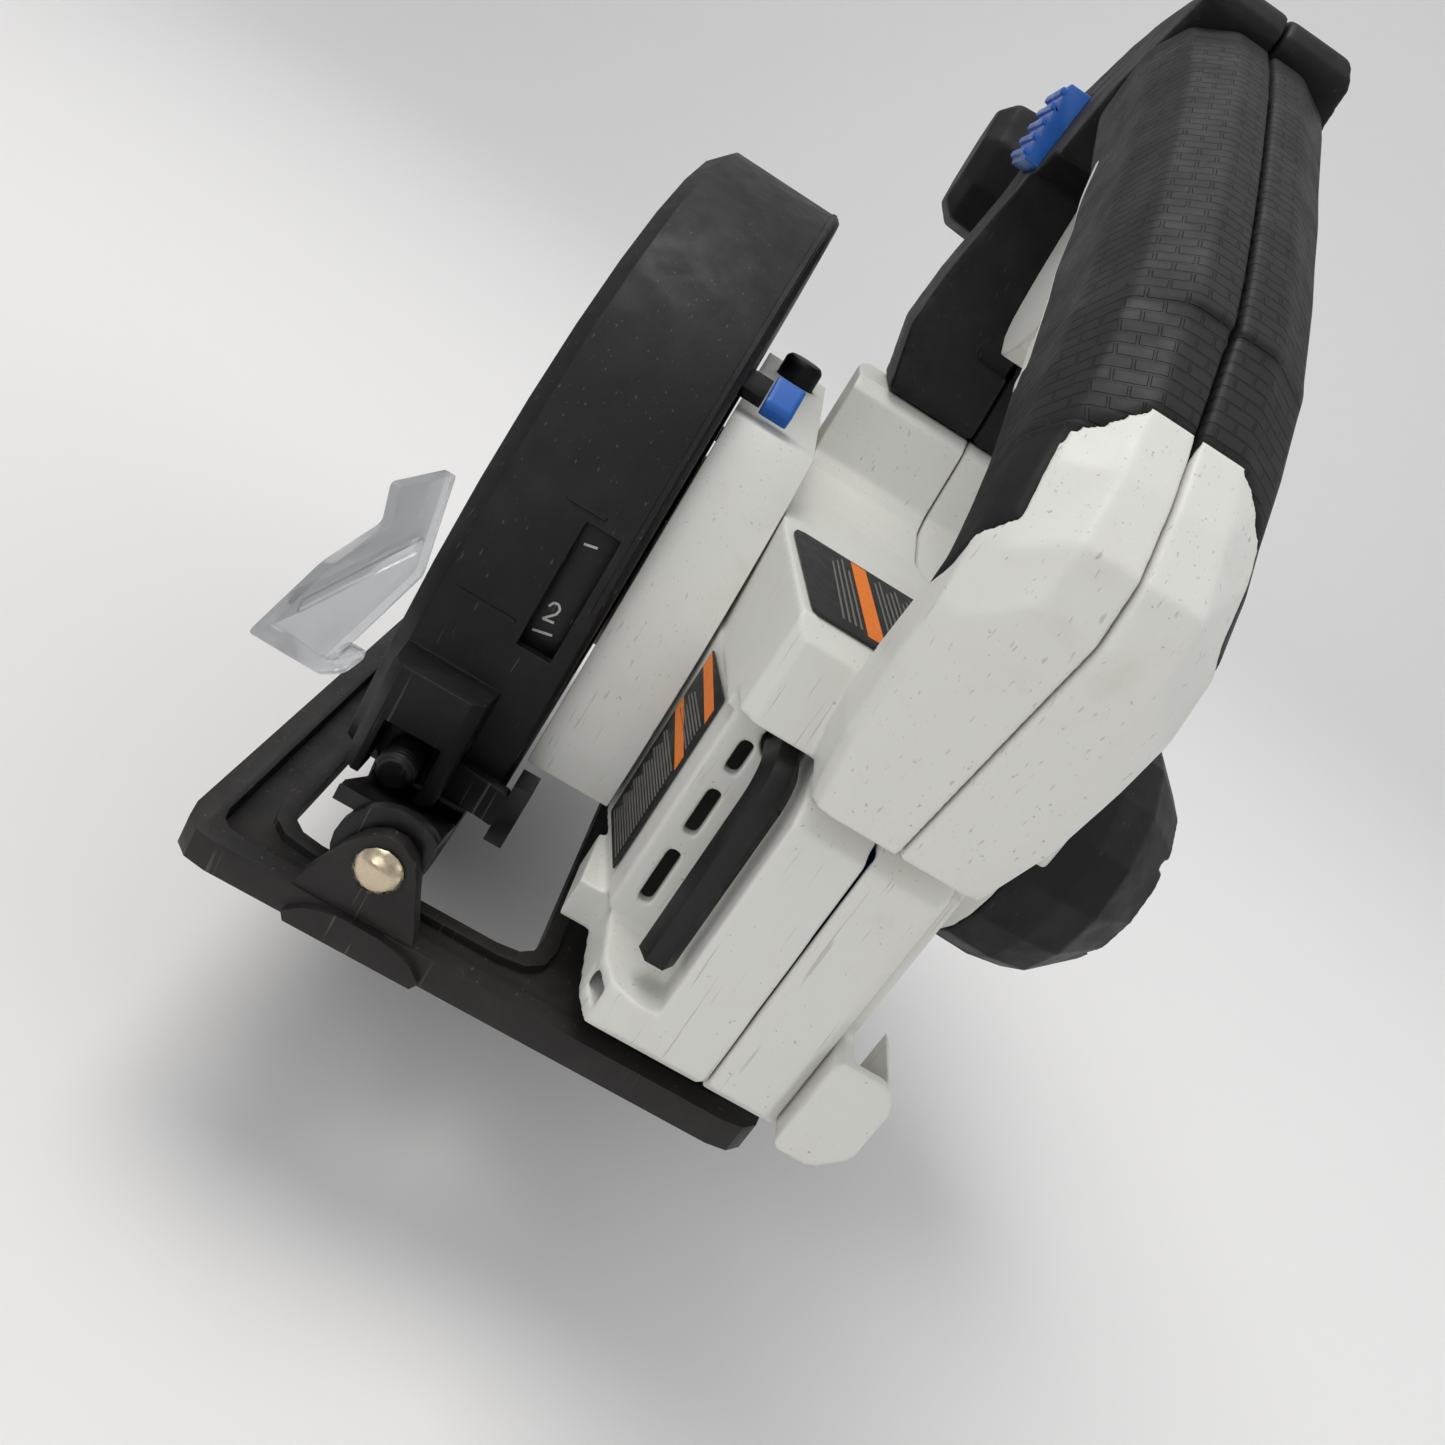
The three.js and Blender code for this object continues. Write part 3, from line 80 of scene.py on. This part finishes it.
class Shader:
    """A principled material with small helpers for procedural detail, in object coordinates."""

    def __init__(self, name, colour, roughness, metallic=0.0, **sockets):
        self.material = bpy.data.materials.new(name)
        self.material.use_nodes = True
        self.tree = self.material.node_tree
        self.bsdf = self.tree.nodes["Principled BSDF"]
        self.bsdf.inputs["Base Color"].default_value = colour
        self.bsdf.inputs["Roughness"].default_value = roughness
        self.bsdf.inputs["Metallic"].default_value = metallic
        for key, value in sockets.items():
            self.bsdf.inputs[key.replace("_", " ")].default_value = value
        self.colour = colour
        self.coords = self.node("ShaderNodeTexCoord").outputs["Object"]
        self.height = None

    def node(self, kind, **values):
        made = self.tree.nodes.new(kind)
        for key, value in values.items():
            setattr(made, key, value)
        return made

    def link(self, a, b):
        self.tree.links.new(a, b)

    def mapped(self, scale=(1, 1, 1), rotation=(0, 0, 0), location=(0, 0, 0)):
        mapping = self.node("ShaderNodeMapping")
        mapping.inputs["Scale"].default_value = scale
        mapping.inputs["Rotation"].default_value = rotation
        mapping.inputs["Location"].default_value = location
        self.link(self.coords, mapping.inputs["Vector"])
        return mapping.outputs["Vector"]

    def noise(self, scale, detail=4.0, roughness=0.55, vector=None, distortion=0.0):
        made = self.node("ShaderNodeTexNoise")
        made.inputs["Scale"].default_value = scale
        made.inputs["Detail"].default_value = detail
        made.inputs["Roughness"].default_value = roughness
        made.inputs["Distortion"].default_value = distortion
        self.link(vector or self.coords, made.inputs["Vector"])
        return made.outputs["Fac"]

    def ramp(self, source, low, high, out_low=0.0, out_high=1.0):
        made = self.node("ShaderNodeMapRange", interpolation_type="SMOOTHSTEP")
        for key, value in (("From Min", low), ("From Max", high), ("To Min", out_low), ("To Max", out_high)):
            made.inputs[key].default_value = value
        self.link(source, made.inputs["Value"])
        return made.outputs["Result"]

    def math(self, operation, a, b=None):
        made = self.node("ShaderNodeMath", operation=operation)
        for slot, value in zip(made.inputs, (a, b)):
            if isinstance(value, (int, float)):
                slot.default_value = value
            elif value is not None:
                self.link(value, slot)
        return made.outputs["Value"]

    def tint(self, mask, colour, strength=1.0):
        """Mixes another colour in where the mask is high."""
        mix = self.node("ShaderNodeMix", data_type="RGBA")
        factor = self.math("MULTIPLY", mask, strength)
        self.link(factor, mix.inputs["Factor"])
        socket = self.bsdf.inputs["Base Color"]
        if socket.is_linked:
            self.link(socket.links[0].from_socket, mix.inputs[6])
        else:
            mix.inputs[6].default_value = self.colour
        mix.inputs[7].default_value = colour
        self.link(mix.outputs[2], socket)
        return self

    def rough(self, source, low, high, out_low, out_high):
        self.link(self.ramp(source, low, high, out_low, out_high), self.bsdf.inputs["Roughness"])
        return self

    def bump(self, source, distance, strength=1.0):
        made = self.node("ShaderNodeBump")
        made.inputs["Distance"].default_value = distance
        made.inputs["Strength"].default_value = strength
        self.link(source, made.inputs["Height"])
        socket = self.bsdf.inputs["Normal"]
        if socket.is_linked:
            self.link(socket.links[0].from_socket, made.inputs["Normal"])
        self.link(made.outputs["Normal"], socket)
        return self

    def scratches(self, angle, scale=180.0, thin=0.62):
        """A mask of fine straight scratches that run at one angle."""
        vector = self.mapped(scale=(1.0, 1.0, 0.03), rotation=(angle, angle * 0.7, angle * 1.3))
        return self.ramp(self.noise(scale, 2.0, 0.4, vector), thin, thin + 0.06)


def white_plastic():
    m = Shader("white_plastic", srgb(216, 216, 210), 0.45)
    m.tint(m.ramp(m.noise(70, 7.0, 0.7, distortion=0.4), 0.52, 0.8), srgb(196, 186, 168), 0.35)
    m.tint(m.ramp(m.noise(900, 3.0, 0.6), 0.68, 0.74), srgb(122, 106, 84), 0.5)
    m.tint(m.scratches(0.5, 1500, 0.69), srgb(140, 136, 128), 0.4)
    m.tint(m.scratches(2.1, 1900, 0.7), srgb(130, 126, 118), 0.35)
    m.rough(m.noise(160, 4.0), 0.3, 0.7, 0.4, 0.54)
    m.bump(m.noise(2600, 2.0), 0.00004, 0.3)
    return m.material


def rubber():
    m = Shader("grip_rubber", srgb(17, 17, 18), 0.66, Specular_IOR_Level=0.28)
    m.tint(m.ramp(m.noise(160, 6.0, 0.7), 0.5, 0.8), srgb(44, 43, 42), 0.4)
    m.tint(m.scratches(1.1, 1600, 0.7), srgb(80, 80, 80), 0.3)
    m.rough(m.noise(150, 5.0), 0.3, 0.7, 0.54, 0.7)
    m.bump(m.noise(2200, 3.0), 0.00006, 0.4)
    return m.material


def textured_rubber():
    """The rubber of the grip, with a field of small raised bricks that follows the handle."""
    m = Shader("grip_rubber_bricks", srgb(15, 15, 16), 0.62, Specular_IOR_Level=0.3)
    m.tint(m.ramp(m.noise(160, 6.0, 0.7), 0.5, 0.8), srgb(42, 41, 40), 0.4)
    m.rough(m.noise(150, 5.0), 0.3, 0.7, 0.5, 0.66)
    axes = m.node("ShaderNodeSeparateXYZ")
    m.link(m.coords, axes.inputs[0])
    x, y, z = axes.outputs
    dx = m.math("SUBTRACT", x, HANDLE_START[0])
    dz = m.math("SUBTRACT", z, HANDLE_START[1])
    run = m.math("ADD", m.math("MULTIPLY", dx, math.cos(HANDLE_ANGLE)), m.math("MULTIPLY", dz, math.sin(HANDLE_ANGLE)))
    down = m.math("SUBTRACT", m.math("MULTIPLY", dx, math.sin(HANDLE_ANGLE)), m.math("MULTIPLY", dz, math.cos(HANDLE_ANGLE)))
    turn = m.math("ARCTAN2", y, m.math("SUBTRACT", 0.0185, down))
    girth = m.math("MULTIPLY", turn, 0.0175)
    vector = m.node("ShaderNodeCombineXYZ")
    m.link(girth, vector.inputs[0])
    m.link(run, vector.inputs[1])
    brick = m.node("ShaderNodeTexBrick")
    brick.inputs["Scale"].default_value = 1.0
    brick.inputs["Brick Width"].default_value = 0.0048
    brick.inputs["Row Height"].default_value = 0.0022
    brick.inputs["Mortar Size"].default_value = 0.00028
    brick.inputs["Mortar Smooth"].default_value = 0.4
    brick.inputs["Color1"].default_value = (1, 1, 1, 1)
    brick.inputs["Color2"].default_value = (0.75, 0.75, 0.75, 1)
    brick.inputs["Mortar"].default_value = (0, 0, 0, 1)
    m.link(vector.outputs[0], brick.inputs["Vector"])
    reach = m.ramp(m.math("ABSOLUTE", girth), 0.028, 0.031, 1.0, 0.0)
    start = m.ramp(run, -0.028, -0.024, 0.0, 1.0)
    end = m.ramp(run, 0.086, 0.09, 1.0, 0.0)
    field = m.math("MULTIPLY", m.math("MULTIPLY", reach, start), end)
    height = m.math("MULTIPLY", brick.outputs["Color"], field)
    # painted light and shade: the raised bricks are tinted lighter as painted highlight on their tops, and the grooves
    # between them stay darker as painted shade; the two brick tones vary at random
    m.tint(m.math("MULTIPLY", height, field), srgb(36, 36, 37), 0.6)
    m.bump(height, 0.0007, 1.0)
    m.bump(m.noise(2200, 3.0), 0.00005, 0.3)
    return m.material


def black_plastic(name="black_plastic", shade=14, roughness=0.5):
    m = Shader(name, srgb(shade, shade, shade + 1), roughness, Specular_IOR_Level=0.3)
    m.tint(m.ramp(m.noise(180, 6.0, 0.7), 0.5, 0.8), srgb(shade + 16, shade + 15, shade + 14), 0.4)
    m.tint(m.scratches(0.9, 1700, 0.7), srgb(86, 86, 86), 0.3)
    m.rough(m.noise(150, 4.0), 0.3, 0.7, roughness - 0.06, roughness + 0.1)
    m.bump(m.noise(1900, 2.0), 0.00005, 0.4)
    return m.material


def black_paint():
    m = Shader("black_paint", srgb(13, 13, 14), 0.52, Specular_IOR_Level=0.28)
    m.tint(m.ramp(m.noise(120, 7.0, 0.7), 0.5, 0.85), srgb(26, 25, 24), 0.45)
    m.tint(m.scratches(0.2, 1300, 0.7), srgb(104, 100, 96), 0.35)
    m.tint(m.scratches(1.6, 1700, 0.71), srgb(110, 106, 102), 0.3)
    m.rough(m.noise(150, 5.0), 0.3, 0.7, 0.46, 0.6)
    m.bump(m.noise(1500, 4.0, 0.6), 0.00006, 0.4)
    return m.material


def base_paint():
    m = Shader("base_paint", srgb(32, 30, 29), 0.5, 0.1, Specular_IOR_Level=0.35)
    m.tint(m.ramp(m.noise(140, 8.0, 0.72), 0.48, 0.8), srgb(54, 48, 42), 0.45)
    m.tint(m.scratches(0.05, 1100, 0.68), srgb(116, 108, 98), 0.35)
    m.rough(m.noise(120, 5.0), 0.3, 0.7, 0.42, 0.6)
    m.bump(m.noise(900, 4.0), 0.00006, 0.4)
    return m.material


def metal(name, colour, roughness, stretch=(1, 1, 1), worn=None):
    m = Shader(name, colour, roughness, 1.0)
    brushed = m.noise(900, 3.0, 0.5, m.mapped(scale=stretch))
    m.rough(brushed, 0.3, 0.7, max(roughness - 0.1, 0.05), roughness + 0.14)
    m.tint(m.ramp(m.noise(160, 6.0, 0.7), 0.5, 0.75), worn or srgb(120, 105, 88), 0.3)
    m.bump(brushed, 0.00002, 0.4)
    return m.material


def black_oxide(name="black_oxide"):
    m = Shader(name, srgb(12, 12, 13), 0.34, 0.1, Specular_IOR_Level=0.4)
    m.tint(m.ramp(m.noise(200, 6.0, 0.7), 0.55, 0.8), srgb(52, 46, 40), 0.4)
    m.tint(m.scratches(0.7, 1600, 0.7), srgb(128, 124, 118), 0.3)
    m.rough(m.noise(150, 5.0), 0.3, 0.7, 0.3, 0.46)
    m.bump(m.noise(1500, 3.0), 0.00003, 0.4)
    return m.material


def blue_plastic():
    m = Shader("blue_plastic", srgb(8, 92, 182), 0.36)
    m.tint(m.ramp(m.noise(160, 5.0, 0.7), 0.52, 0.8), srgb(6, 66, 140), 0.5)
    m.rough(m.noise(150, 4.0), 0.3, 0.7, 0.3, 0.46)
    m.bump(m.noise(1500, 3.0), 0.00004, 0.4)
    return m.material


def clear_plastic():
    m = Shader("clear_plastic", srgb(224, 228, 232), 0.14, 0.0, Transmission_Weight=0.9, IOR=1.46, Alpha=0.72)
    m.rough(m.noise(90, 3.0, 0.5), 0.35, 0.7, 0.08, 0.2)
    m.bump(m.noise(500, 2.0), 0.00002, 0.2)
    return m.material


def plain(name, colour, roughness, metallic=0.0, scale=300.0):
    m = Shader(name, colour, roughness, metallic)
    m.tint(m.ramp(m.noise(scale, 5.0, 0.7), 0.5, 0.8), tuple(c * 0.7 for c in colour[:3]) + (1.0,), 0.5)
    m.rough(m.noise(scale, 4.0), 0.3, 0.7, max(roughness - 0.08, 0.05), roughness + 0.1)
    m.bump(m.noise(scale * 4, 3.0), 0.00004, 0.3)
    return m.material


MATERIALS = {
    "white_plastic": white_plastic(),
    "black_plastic": black_plastic(),
    "grip_rubber": rubber(),
    "grip_bricks": textured_rubber(),
    "black_paint": black_paint(),
    "base_paint": base_paint(),
    "bare_steel": metal("bare_steel", srgb(176, 174, 170), 0.34),
    "blade_steel": metal("blade_steel", srgb(186, 184, 180), 0.28, (1, 1, 0.05)),
    "nickel": metal("nickel", srgb(206, 192, 166), 0.24),
    "black_oxide": black_oxide(),
    "blue_plastic": blue_plastic(),
    "clear_plastic": clear_plastic(),
    "copper": metal("copper", srgb(186, 112, 66), 0.35),
    "brass": metal("brass", srgb(196, 160, 84), 0.3),
    "carbon": plain("carbon", srgb(44, 44, 46), 0.7),
    "label": plain("label", srgb(20, 20, 21), 0.6),
    "orange": plain("orange", srgb(232, 122, 30), 0.55),
    "scale_white": plain("scale_white", srgb(206, 204, 196), 0.55),
    "ruled": plain("ruled", srgb(108, 106, 100), 0.6),
    "threads": black_oxide("threads"),
}


# ---------------------------------------------------------------- carried-over CAD nodes
MOULDED = {  # voxel size and smoothing passes
    "housing_left": (0.5, 9), "housing_right": (0.5, 9), "grip_left": (0.5, 24), "grip_right": (0.5, 24),
    "front_arm_left": (0.7, 5), "front_arm_right": (0.7, 5), "front_handle": (0.7, 5), "motor_cap": (0.5, 2),
    "trigger_button": (0.5, 8), "battery_rails": (0.6, 2), "guard_lever_tip": (0.35, 6), "bevel_lock_knob": (0.4, 6),
}
EDGES = {"upper_guard": 0.9, "gear_housing": 1.0, "base_plate": 0.9, "lower_guard": 0.35, "hex_key": 0.35, "lock_off_button": 0.5}
DEFAULT_EDGE = 0.3


def moulded(node, voxel, passes):
    """Rounds a moulded shell's edges, as a mould's radii do."""
    remesh = node.modifiers.new("fine_skin", "REMESH")
    remesh.mode = "VOXEL"
    remesh.voxel_size = voxel * MM
    remesh.use_smooth_shade = True
    smooth = node.modifiers.new("mould_radii", "SMOOTH")
    smooth.factor = 0.5
    smooth.iterations = passes


def machined(node, width):
    """Breaks the sharp edges of a metal or small piece."""
    weld = node.modifiers.new("weld", "WELD")
    weld.merge_threshold = 0.00002
    bevel = node.modifiers.new("broken_edges", "BEVEL")
    bevel.width = width * MM
    bevel.segments = 3
    bevel.limit_method = "ANGLE"
    bevel.angle_limit = math.radians(32)
    bevel.use_clamp_overlap = True
    split = node.modifiers.new("crisp_edges", "EDGE_SPLIT")
    split.split_angle = math.radians(33)
    node.data.polygons.foreach_set("use_smooth", [True] * len(node.data.polygons))


def dress_nodes():
    slots = {s["node"]: s["material_slot"] for s in frame["record"]["subparts"]}
    for name, node in NODES.items():
        node.data.materials.clear()
        bricked = name in ("grip_left", "grip_right")
        node.data.materials.append(MATERIALS["grip_bricks" if bricked else slots[name]])
        if name in MOULDED:
            moulded(node, *MOULDED[name])
        else:
            machined(node, EDGES.get(name, DEFAULT_EDGE))


dress_nodes()


# ---------------------------------------------------------------- added detail
def piece(name, vertices, faces, body, material):
    """A new mesh in the row frame, in metres, that rides on a CAD body."""
    mesh = bpy.data.meshes.new(name)
    mesh.from_pydata(vertices, [], faces)
    mesh.validate()
    bm = bmesh.new()
    bm.from_mesh(mesh)
    bmesh.ops.recalc_face_normals(bm, faces=bm.faces)
    bm.to_mesh(mesh)
    bm.free()
    made = bpy.data.objects.new(name, mesh)
    bpy.context.scene.collection.objects.link(made)
    mesh.materials.append(MATERIALS[material])
    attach(made, body)
    return made


def slab(corners, rise):
    """Vertices and faces of a thin slab over four corners, raised along one vector."""
    low = [Vector(c) for c in corners]
    high = [c + Vector(rise) for c in low]
    faces = [(0, 1, 2, 3), (4, 5, 6, 7), (0, 1, 5, 4), (1, 2, 6, 5), (2, 3, 7, 6), (3, 0, 4, 7)]
    return low + high, faces


def slabs(name, items, body, material):
    vertices, faces = [], []
    for corners, rise in items:
        v, f = slab(corners, rise)
        faces += [tuple(i + len(vertices) for i in face) for face in f]
        vertices += v
    return piece(name, vertices, faces, body, material)


def top_label_print():
    """Two-tone print on the saddle's label: an orange band with plain ruled lines at its sides."""
    low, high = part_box("top_label")
    z = high[2]
    rise = (0, 0, 0.00008)

    def bar(x0, x1, y, slope, width):
        return [(x0, y, z), (x1, y + slope * (x1 - x0), z), (x1, y + slope * (x1 - x0) + width, z), (x0, y + width, z)]

    x0, x1 = low[0] + 2.5 * MM, high[0] - 1.0 * MM
    slope = 0.09
    slabs("top_label_band", [(bar(x0, x1, low[1] + 10.5 * MM, slope, 3.0 * MM), rise)], "saw_body", "orange")
    rules = []
    for row in range(12):
        y = low[1] + (1.6 + row * 1.05 + (4.4 if row > 7 else 0)) * MM
        stop = x1 - (row % 3) * 2.2 * MM
        rules.append((bar(x0 + 1.5 * MM, stop - 2 * MM, y, slope, 0.36 * MM), rise))
    slabs("top_label_rules", rules, "saw_body", "ruled")


def side_label_print():
    """Orange bands and plain ruled lines across the label on the slanted left wall."""
    a, b = Vector((-106.0, 28.42, 0)) * MM, Vector((-89.6, 32.18, 0)) * MM
    rise = Vector((-0.02, 0.09, 0)) * MM

    def bar(z0, z1, start=0.0, stop=1.0, lean=2.4):
        p, q = a.lerp(b, start), a.lerp(b, stop)
        up0, up1 = Vector((0, 0, z0 * MM)), Vector((0, 0, z1 * MM))
        tilt0, tilt1 = Vector((0, 0, lean * start * MM)), Vector((0, 0, lean * stop * MM))
        return [p + up0 + tilt0, q + up0 + tilt1, q + up1 + tilt1, p + up1 + tilt0]

    slabs("side_label_bands", [(bar(z, z + 2.9), rise) for z in (45.6, 55.4)], "saw_body", "orange")
    rules = []
    for row in range(22):
        z = 25.2 + row * 0.92
        rules.append((bar(z, z + 0.34, 0.06, 0.93 - (row % 4) * 0.05, 0.0), rise))
    for row in range(6):
        z = 49.4 + row * 0.92
        rules.append((bar(z, z + 0.34, 0.06, 0.9 - (row % 3) * 0.06, 0.0), rise))
    slabs("side_label_rules", rules, "saw_body", "ruled")


def depth_scale():
    """White marks and a plain numeral on the depth strip, seen through the guard's window."""
    pivot_x, pivot_z, radius = 104.0, 26.0, 195.16

    def at(y, z):
        return Vector((pivot_x - math.sqrt(radius ** 2 - (z - pivot_z) ** 2), y, z)) * MM

    def stroke(y0, z0, y1, z1, width=0.42):
        run = Vector((y1 - y0, z1 - z0)).normalized()
        side = Vector((-run.y, run.x)) * width / 2
        corners = [(y0 + side.x, z0 + side.y), (y1 + side.x, z1 + side.y), (y1 - side.x, z1 - side.y), (y0 - side.x, z0 - side.y)]
        return [at(y, z) for y, z in corners], (-0.00012, 0, 0)

    marks = [stroke(60.3, 64.8, 57.9, 65.3), stroke(60.7, 47.6, 57.2, 48.4)]
    numeral = [(60.2, 52.6), (59.7, 53.6), (58.8, 53.7), (58.2, 53.0), (58.4, 52.0), (60.1, 50.2), (58.0, 50.5)]
    marks += [stroke(*p, *q) for p, q in zip(numeral, numeral[1:])]
    marks += [stroke(62.8, 55.5 + 3 * i, 61.9, 55.6 + 3 * i, 0.3) for i in range(4)]
    slabs("depth_scale_marks", marks, "bevel_frame", "scale_white")


def guard_pointers():
    """Raised pointer lines on the rim of the guard, and a step along its right edge."""
    cx, cz, radius = -1.5, 34.0, 95.0
    vertices, faces = [], []

    def ridge(y0, y1, from_deg, to_deg, rise, steps):
        base = len(vertices)
        for i in range(steps + 1):
            a = math.radians(from_deg + (to_deg - from_deg) * i / steps)
            for r, y in ((radius - 0.4, y0), (radius + rise, y0 + 0.15), (radius + rise, y1 - 0.15), (radius - 0.4, y1)):
                vertices.append(Vector((cx + r * math.cos(a), y, cz + r * math.sin(a))) * MM)
        for i in range(steps):
            for k in range(4):
                p, q = base + 4 * i + k, base + 4 * i + (k + 1) % 4
                faces.append((p, q, q + 4, p + 4))
        end = base + 4 * steps
        faces.append((base, base + 1, base + 2, base + 3))
        faces.append((end + 3, end + 2, end + 1, end))

    ridge(63.4, 75.2, 170.5, 170.9, 0.35, 1)
    ridge(58.8, 66.4, 156.9, 157.3, 0.35, 1)
    ridge(52.2, 53.4, 12, 166, 0.3, 90)
    piece("guard_pointers", vertices, faces, "saw_body", "black_paint")


def bolt_threads():
    """The thread of the depth lock bolt, as close rings."""
    low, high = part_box("depth_lock_bolt")
    cy, cz = (low[1] + high[1]) / 2, (low[2] + high[2]) / 2
    start, pitch, count, around = low[0] + 0.9 * MM, 1.05 * MM, 8, 28
    profile = []
    for i in range(count):
        x = start + i * pitch
        profile += [(x, 3.0), (x + 0.42 * pitch, 3.66), (x + 0.58 * pitch, 3.66)]
    profile.append((start + count * pitch, 3.0))
    vertices, faces = [], []
    for x, r in profile:
        for k in range(around):
            a = 2 * math.pi * k / around
            lead = pitch * k / around
            vertices.append(Vector((x + lead - pitch / 2, cy + r * MM * math.cos(a), cz + r * MM * math.sin(a))))
    for i in range(len(profile) - 1):
        for k in range(around - 1):
            p, q = i * around + k, i * around + k + 1
            faces.append((p, q, q + around, p + around))
    made = piece("depth_bolt_threads", vertices, faces, "saw_body", "threads")
    made.data.polygons.foreach_set("use_smooth", [True] * len(made.data.polygons))


def grip_inlay():
    """The narrow white line of the inner shell that shows along the left side of the grip."""
    grip = NODES["grip_left"].evaluated_get(bpy.context.evaluated_depsgraph_get())
    path = [(-43.5, 160.4, 0.4), (-58.0, 147.4, 1.1), (-72.0, 139.6, 1.3), (-88.0, 132.9, 1.3), (-99.0, 127.6, 1.0), (-107.5, 123.0, 0.3)]
    points = []
    for (x0, z0, w0), (x1, z1, w1) in zip(path, path[1:]):
        for i in range(8):
            t = i / 8
            points.append((x0 + (x1 - x0) * t, z0 + (z1 - z0) * t, w0 + (w1 - w0) * t))
    vertices, faces = [], []
    for i, (x, z, w) in enumerate(points):
        before, after = points[max(i - 1, 0)], points[min(i + 1, len(points) - 1)]
        run = Vector((after[0] - before[0], after[1] - before[1])).normalized()
        for side in (-1, 1):
            place = Vector((x - side * run.y * w, 40.0, z + side * run.x * w)) * MM
            hit, where, _, _ = grip.ray_cast(place, Vector((0, -1, 0)))
            y = where.y if hit else 0.0175
            vertices.append(Vector((place.x, y - 0.0004, place.z)))
            vertices.append(Vector((place.x, y + 0.00012, place.z)))
    for i in range(len(points) - 1):
        k = 4 * i
        faces += [(k, k + 1, k + 5, k + 4), (k + 1, k + 3, k + 7, k + 5), (k + 3, k + 2, k + 6, k + 7), (k + 2, k, k + 4, k + 6)]
    last = 4 * (len(points) - 1)
    faces += [(0, 2, 3, 1), (last, last + 1, last + 3, last + 2)]
    piece("grip_inlay", vertices, faces, "saw_body", "white_plastic")


top_label_print()
side_label_print()
depth_scale()
guard_pointers()
bolt_threads()
grip_inlay()


# ---------------------------------------------------------------- camera, light and floor
def camera():
    data = bpy.data.cameras.new("camera")
    data.lens = 30.56
    data.sensor_width = 36.0
    data.clip_start = 0.01
    made = bpy.data.objects.new("camera", data)
    bpy.context.scene.collection.objects.link(made)
    right = Vector((0.09883, -0.85485, 0.50942))
    down = Vector((-0.37958, -0.50563, -0.77477))
    forward = Vector((0.91983, -0.11679, -0.37446))
    turn = Matrix((right, -down, -forward)).transposed().to_4x4()
    made.matrix_world = Matrix.Translation(Vector((-0.2876, 0.0492, 0.1311))) @ turn
    bpy.context.scene.camera = made


def light(name, place, target, size, power, colour=(1.0, 1.0, 1.0)):
    data = bpy.data.lights.new(name, "AREA")
    data.shape = "DISK"
    data.size = size
    data.energy = power
    data.color = colour
    made = bpy.data.objects.new(name, data)
    bpy.context.scene.collection.objects.link(made)
    made.location = place
    made.rotation_euler = (Vector(target) - Vector(place)).to_track_quat("-Z", "Y").to_euler()


def floor():
    """A pale floor that turns up smoothly into a wall all round, far from the object."""
    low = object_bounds()[0][2]
    flat, bend, around = 1.6, 2.4, 96
    rings = [(flat * i / 6, 0.0) for i in range(1, 7)]
    rings += [(flat + bend * math.sin(math.radians(a)), bend * (1 - math.cos(math.radians(a)))) for a in range(5, 91, 5)]
    rings += [(flat + bend, bend + 1.5)]
    vertices = [(0.0, 0.0, low)]
    for radius, height in rings:
        for k in range(around):
            a = 2 * math.pi * k / around
            vertices.append((radius * math.cos(a), radius * math.sin(a), low + height))
    faces = [(0, 1 + k, 1 + (k + 1) % around) for k in range(around)]
    for i in range(len(rings) - 1):
        for k in range(around):
            p, q = 1 + i * around + k, 1 + i * around + (k + 1) % around
            faces.append((p, p + around, q + around, q))
    mesh = bpy.data.meshes.new("floor")
    mesh.from_pydata(vertices, [], faces)
    mesh.polygons.foreach_set("use_smooth", [True] * len(mesh.polygons))
    made = bpy.data.objects.new("floor", mesh)
    bpy.context.scene.collection.objects.link(made)
    m = Shader("floor", srgb(233, 232, 231), 0.8)
    m.bump(m.noise(40, 3.0), 0.0002, 0.1)
    mesh.materials.append(m.material)
    made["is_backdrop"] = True


def world():
    made = bpy.data.worlds.new("world")
    bpy.context.scene.world = made
    made.use_nodes = True
    back = made.node_tree.nodes["Background"]
    back.inputs["Color"].default_value = (0.95, 0.96, 1.0, 1.0)
    back.inputs["Strength"].default_value = 0.62


camera()
world()
floor()
bpy.context.scene.view_settings.view_transform = "Standard"
light("key", (0.15, 0.55, 1.6), (-0.03, 0.03, 0.08), 1.0, 13, (1.0, 0.99, 0.96))
light("fill", (-1.2, 0.5, 0.7), (-0.03, 0.0, 0.08), 1.0, 4)
light("side", (-0.2, -1.3, 0.9), (-0.03, 0.03, 0.08), 1.0, 3)
light("backdrop", (1.8, -0.5, 1.9), (3.4, -1.0, 0.8), 1.6, 9)
